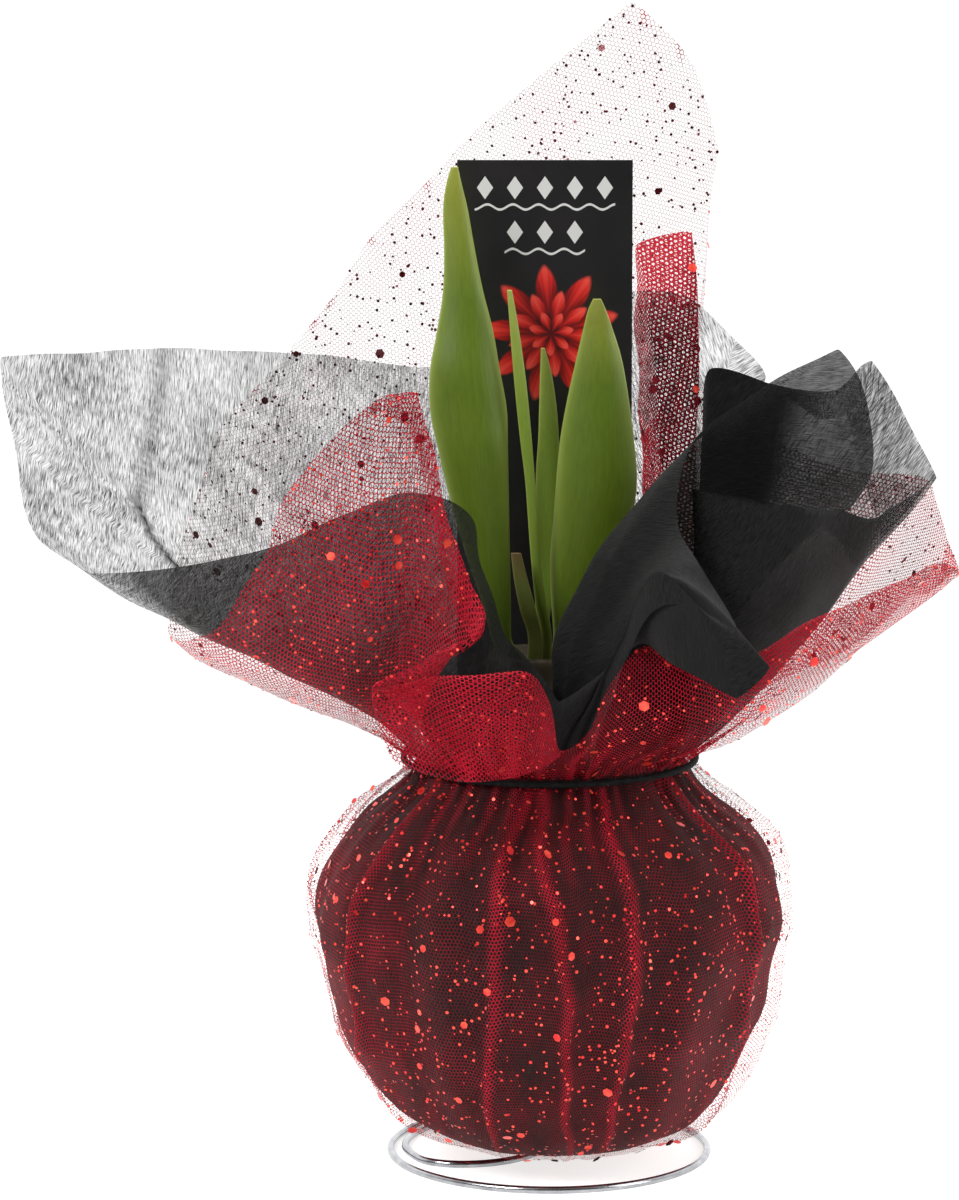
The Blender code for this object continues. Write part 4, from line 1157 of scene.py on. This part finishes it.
def bloom(colour, x, z, size, petals, turn, light):
    """A ring of pointed petals over what is printed already, dark at the heart."""
    off = node(tree, "VectorMath", (0, where), (1, (x, 0.0, z)), operation="SUBTRACT").outputs[0]
    split = node(tree, "SeparateXYZ", (0, off))
    angle = maths(tree, "ARCTAN2", split.outputs[2], split.outputs[0])
    flat = node(tree, "CombineXYZ", (0, split.outputs[0]), (1, split.outputs[2]))
    far = node(tree, "VectorMath", (0, flat.outputs[0]), operation="LENGTH").outputs["Value"]
    far = maths(tree, "DIVIDE", far, size)
    place = maths(tree, "FRACT", maths(tree, "MULTIPLY_ADD", angle, petals / (2 * math.pi), turn))
    off_axis = maths(tree, "MULTIPLY", maths(tree, "ABSOLUTE", maths(tree, "SUBTRACT", place, 0.5)), 2.0)
    reach = maths(tree, "MULTIPLY_ADD", maths(tree, "POWER", off_axis, 1.4), -0.55, 1.0)
    inside = maths(tree, "MULTIPLY", maths(tree, "SUBTRACT", reach, far), 14.0, clamp=True)
    vein = maths(tree, "MULTIPLY", maths(tree, "SINE", maths(tree, "MULTIPLY", off_axis, 26.0)), 0.05)
    shade = maths(tree, "SUBTRACT", maths(tree, "MULTIPLY_ADD", off_axis, -0.55, maths(tree, "ADD", far, vein)), light)
    red = ramp(
        tree, shade, (0.0, (0.05, 0.002, 0.003)), (0.3, (0.22, 0.004, 0.005)), (0.6, (0.6, 0.018, 0.014)),
        (0.9, (0.8, 0.07, 0.05)))
    return node(tree, "Mix", (0, inside), (6, colour), (7, red), data_type="RGBA").outputs[2]


def ornament(colour, z, low, high):
    """A row of white lozenges over a thin waved line, between two distances from the middle."""
    off = node(tree, "VectorMath", (0, where), (1, (middle_x, 0.0, z)), operation="SUBTRACT").outputs[0]
    split = node(tree, "SeparateXYZ", (0, off))
    x, z = split.outputs[0], split.outputs[2]
    within = maths(tree, "COMPARE", maths(tree, "ABSOLUTE", x), (low + high) / 2, (high - low) / 2)
    cell = maths(tree, "PINGPONG", x, 0.0035)
    lozenge = maths(tree, "ADD", cell, maths(tree, "MULTIPLY", maths(tree, "ABSOLUTE", z), 0.7))
    lozenge = maths(tree, "LESS_THAN", lozenge, 0.0019)
    wave = maths(tree, "MULTIPLY", maths(tree, "SINE", maths(tree, "MULTIPLY", x, 1050.0)), 0.0006)
    line = maths(tree, "COMPARE", maths(tree, "ADD", z, wave), -0.0045, 0.00028)
    mask = maths(tree, "MULTIPLY", maths(tree, "MAXIMUM", lozenge, line), within)
    white = (0.62, 0.62, 0.6, 1)
    return node(tree, "Mix", (0, mask), (6, colour), (7, white), data_type="RGBA").outputs[2]


mottle = node(tree, "TexNoise", ("Vector", where), ("Scale", 60.0), ("Detail", 3.0))
colour = ramp(tree, mottle.outputs["Fac"], (0.3, (0.006, 0.006, 0.007)), (0.7, (0.014, 0.012, 0.013)))
middle_x = (CARD_LOW.x + CARD_HIGH.x) / 2
for x, z, size, petals, turn, light in (
        (0.0015, 0.192, 0.0165, 9.0, 0.1, 0.05), (0.0015, 0.192, 0.0105, 9.0, 0.6, -0.1),
        (0.0015, 0.192, 0.0055, 7.0, 0.3, -0.2)):
    colour = bloom(colour, middle_x + x, z, size, petals, turn, light)
colour = ornament(colour, 0.2262, 0.0, 0.0164)
colour = ornament(colour, 0.2158, 0.0, 0.0094)
tree.links.new(colour, shader.inputs["Base Color"])
dress(card, board)
plain, _, _ = new_material("plain_board", Base_Color=(0.012, 0.012, 0.013, 1), Roughness=0.45)
card.data.materials.append(plain)
for face in card.data.polygons:
    face.material_index = int(face.normal.y > 0.3)

# %% [markdown]
# A pale floor and soft light from all round, stronger from above and the left,
# as in a small product studio. What the camera sees past the floor is white.

# %% Floor and light
bm = bmesh.new()
bmesh.ops.create_circle(bm, cap_ends=True, segments=96, radius=0.5)
mesh = bpy.data.meshes.new("floor")
bm.to_mesh(mesh)
bm.free()
floor = bpy.data.objects.new("floor", mesh)
bpy.context.collection.objects.link(floor)
paper, tree, shader = new_material("pale_paper", Base_Color=(0.6, 0.6, 0.6, 1), Roughness=0.8)
where = node(tree, "TexCoord").outputs["Object"]
far = node(tree, "VectorMath", (0, where), operation="LENGTH").outputs["Value"]
fade = node(tree, "MapRange", (0, far), (1, 0.28), (2, 0.48), (3, 1.0), (4, 0.0), interpolation_type="SMOOTHSTEP")
tree.links.new(fade.outputs[0], shader.inputs["Alpha"])
shader.inputs["Emission Color"].default_value = (1.0, 1.0, 0.985, 1)
shader.inputs["Emission Strength"].default_value = 0.75
dress(floor, paper)

world = bpy.data.worlds.new("studio")
bpy.context.scene.world = world
bpy.context.scene.view_settings.view_transform = "Standard"
bpy.context.scene.cycles.transparent_max_bounces = 24
world.use_nodes = True
tree = world.node_tree
tree.nodes.clear()
direction = node(tree, "TexCoord").outputs["Generated"]
split = node(tree, "SeparateXYZ", (0, direction))
behind = node(tree, "MapRange", (0, split.outputs[1]), (1, -0.7), (2, 0.6), (3, 0.12), (4, 1.5), interpolation_type="SMOOTHSTEP")
above = node(tree, "MapRange", (0, split.outputs[2]), (1, -0.2), (2, 1.0), (3, 0.8), (4, 1.2))
soft = node(tree, "Background", (0, (1, 1, 1, 1)), (1, maths(tree, "MULTIPLY", behind.outputs[0], above.outputs[0])))
white = node(tree, "Background", (0, (1, 1, 1, 1)), (1, 1.1))
seen = node(tree, "LightPath").outputs["Is Camera Ray"]
both = node(tree, "MixShader", (0, seen), (1, soft.outputs[0]), (2, white.outputs[0]))
node(tree, "OutputWorld", (0, both.outputs[0]))


def soft_box(name, place, size, power):
    light = bpy.data.objects.new(name, bpy.data.lights.new(name, "AREA"))
    bpy.context.collection.objects.link(light)
    light.data.shape = "RECTANGLE"
    light.data.size, light.data.size_y = size
    light.data.energy = power
    light.location = place
    light.rotation_mode = "QUATERNION"
    light.rotation_quaternion = (Vector((0, 0, 0.12)) - Vector(place)).to_track_quat("-Z", "Y")
    return light


soft_box("key", (-0.75, -0.85, 1.0), (0.5, 0.5), 16.0)
soft_box("fill", (0.9, -0.5, 0.5), (0.4, 0.7), 5.0)
soft_box("top", (0.1, 0.3, 1.1), (0.6, 0.6), 12.0)
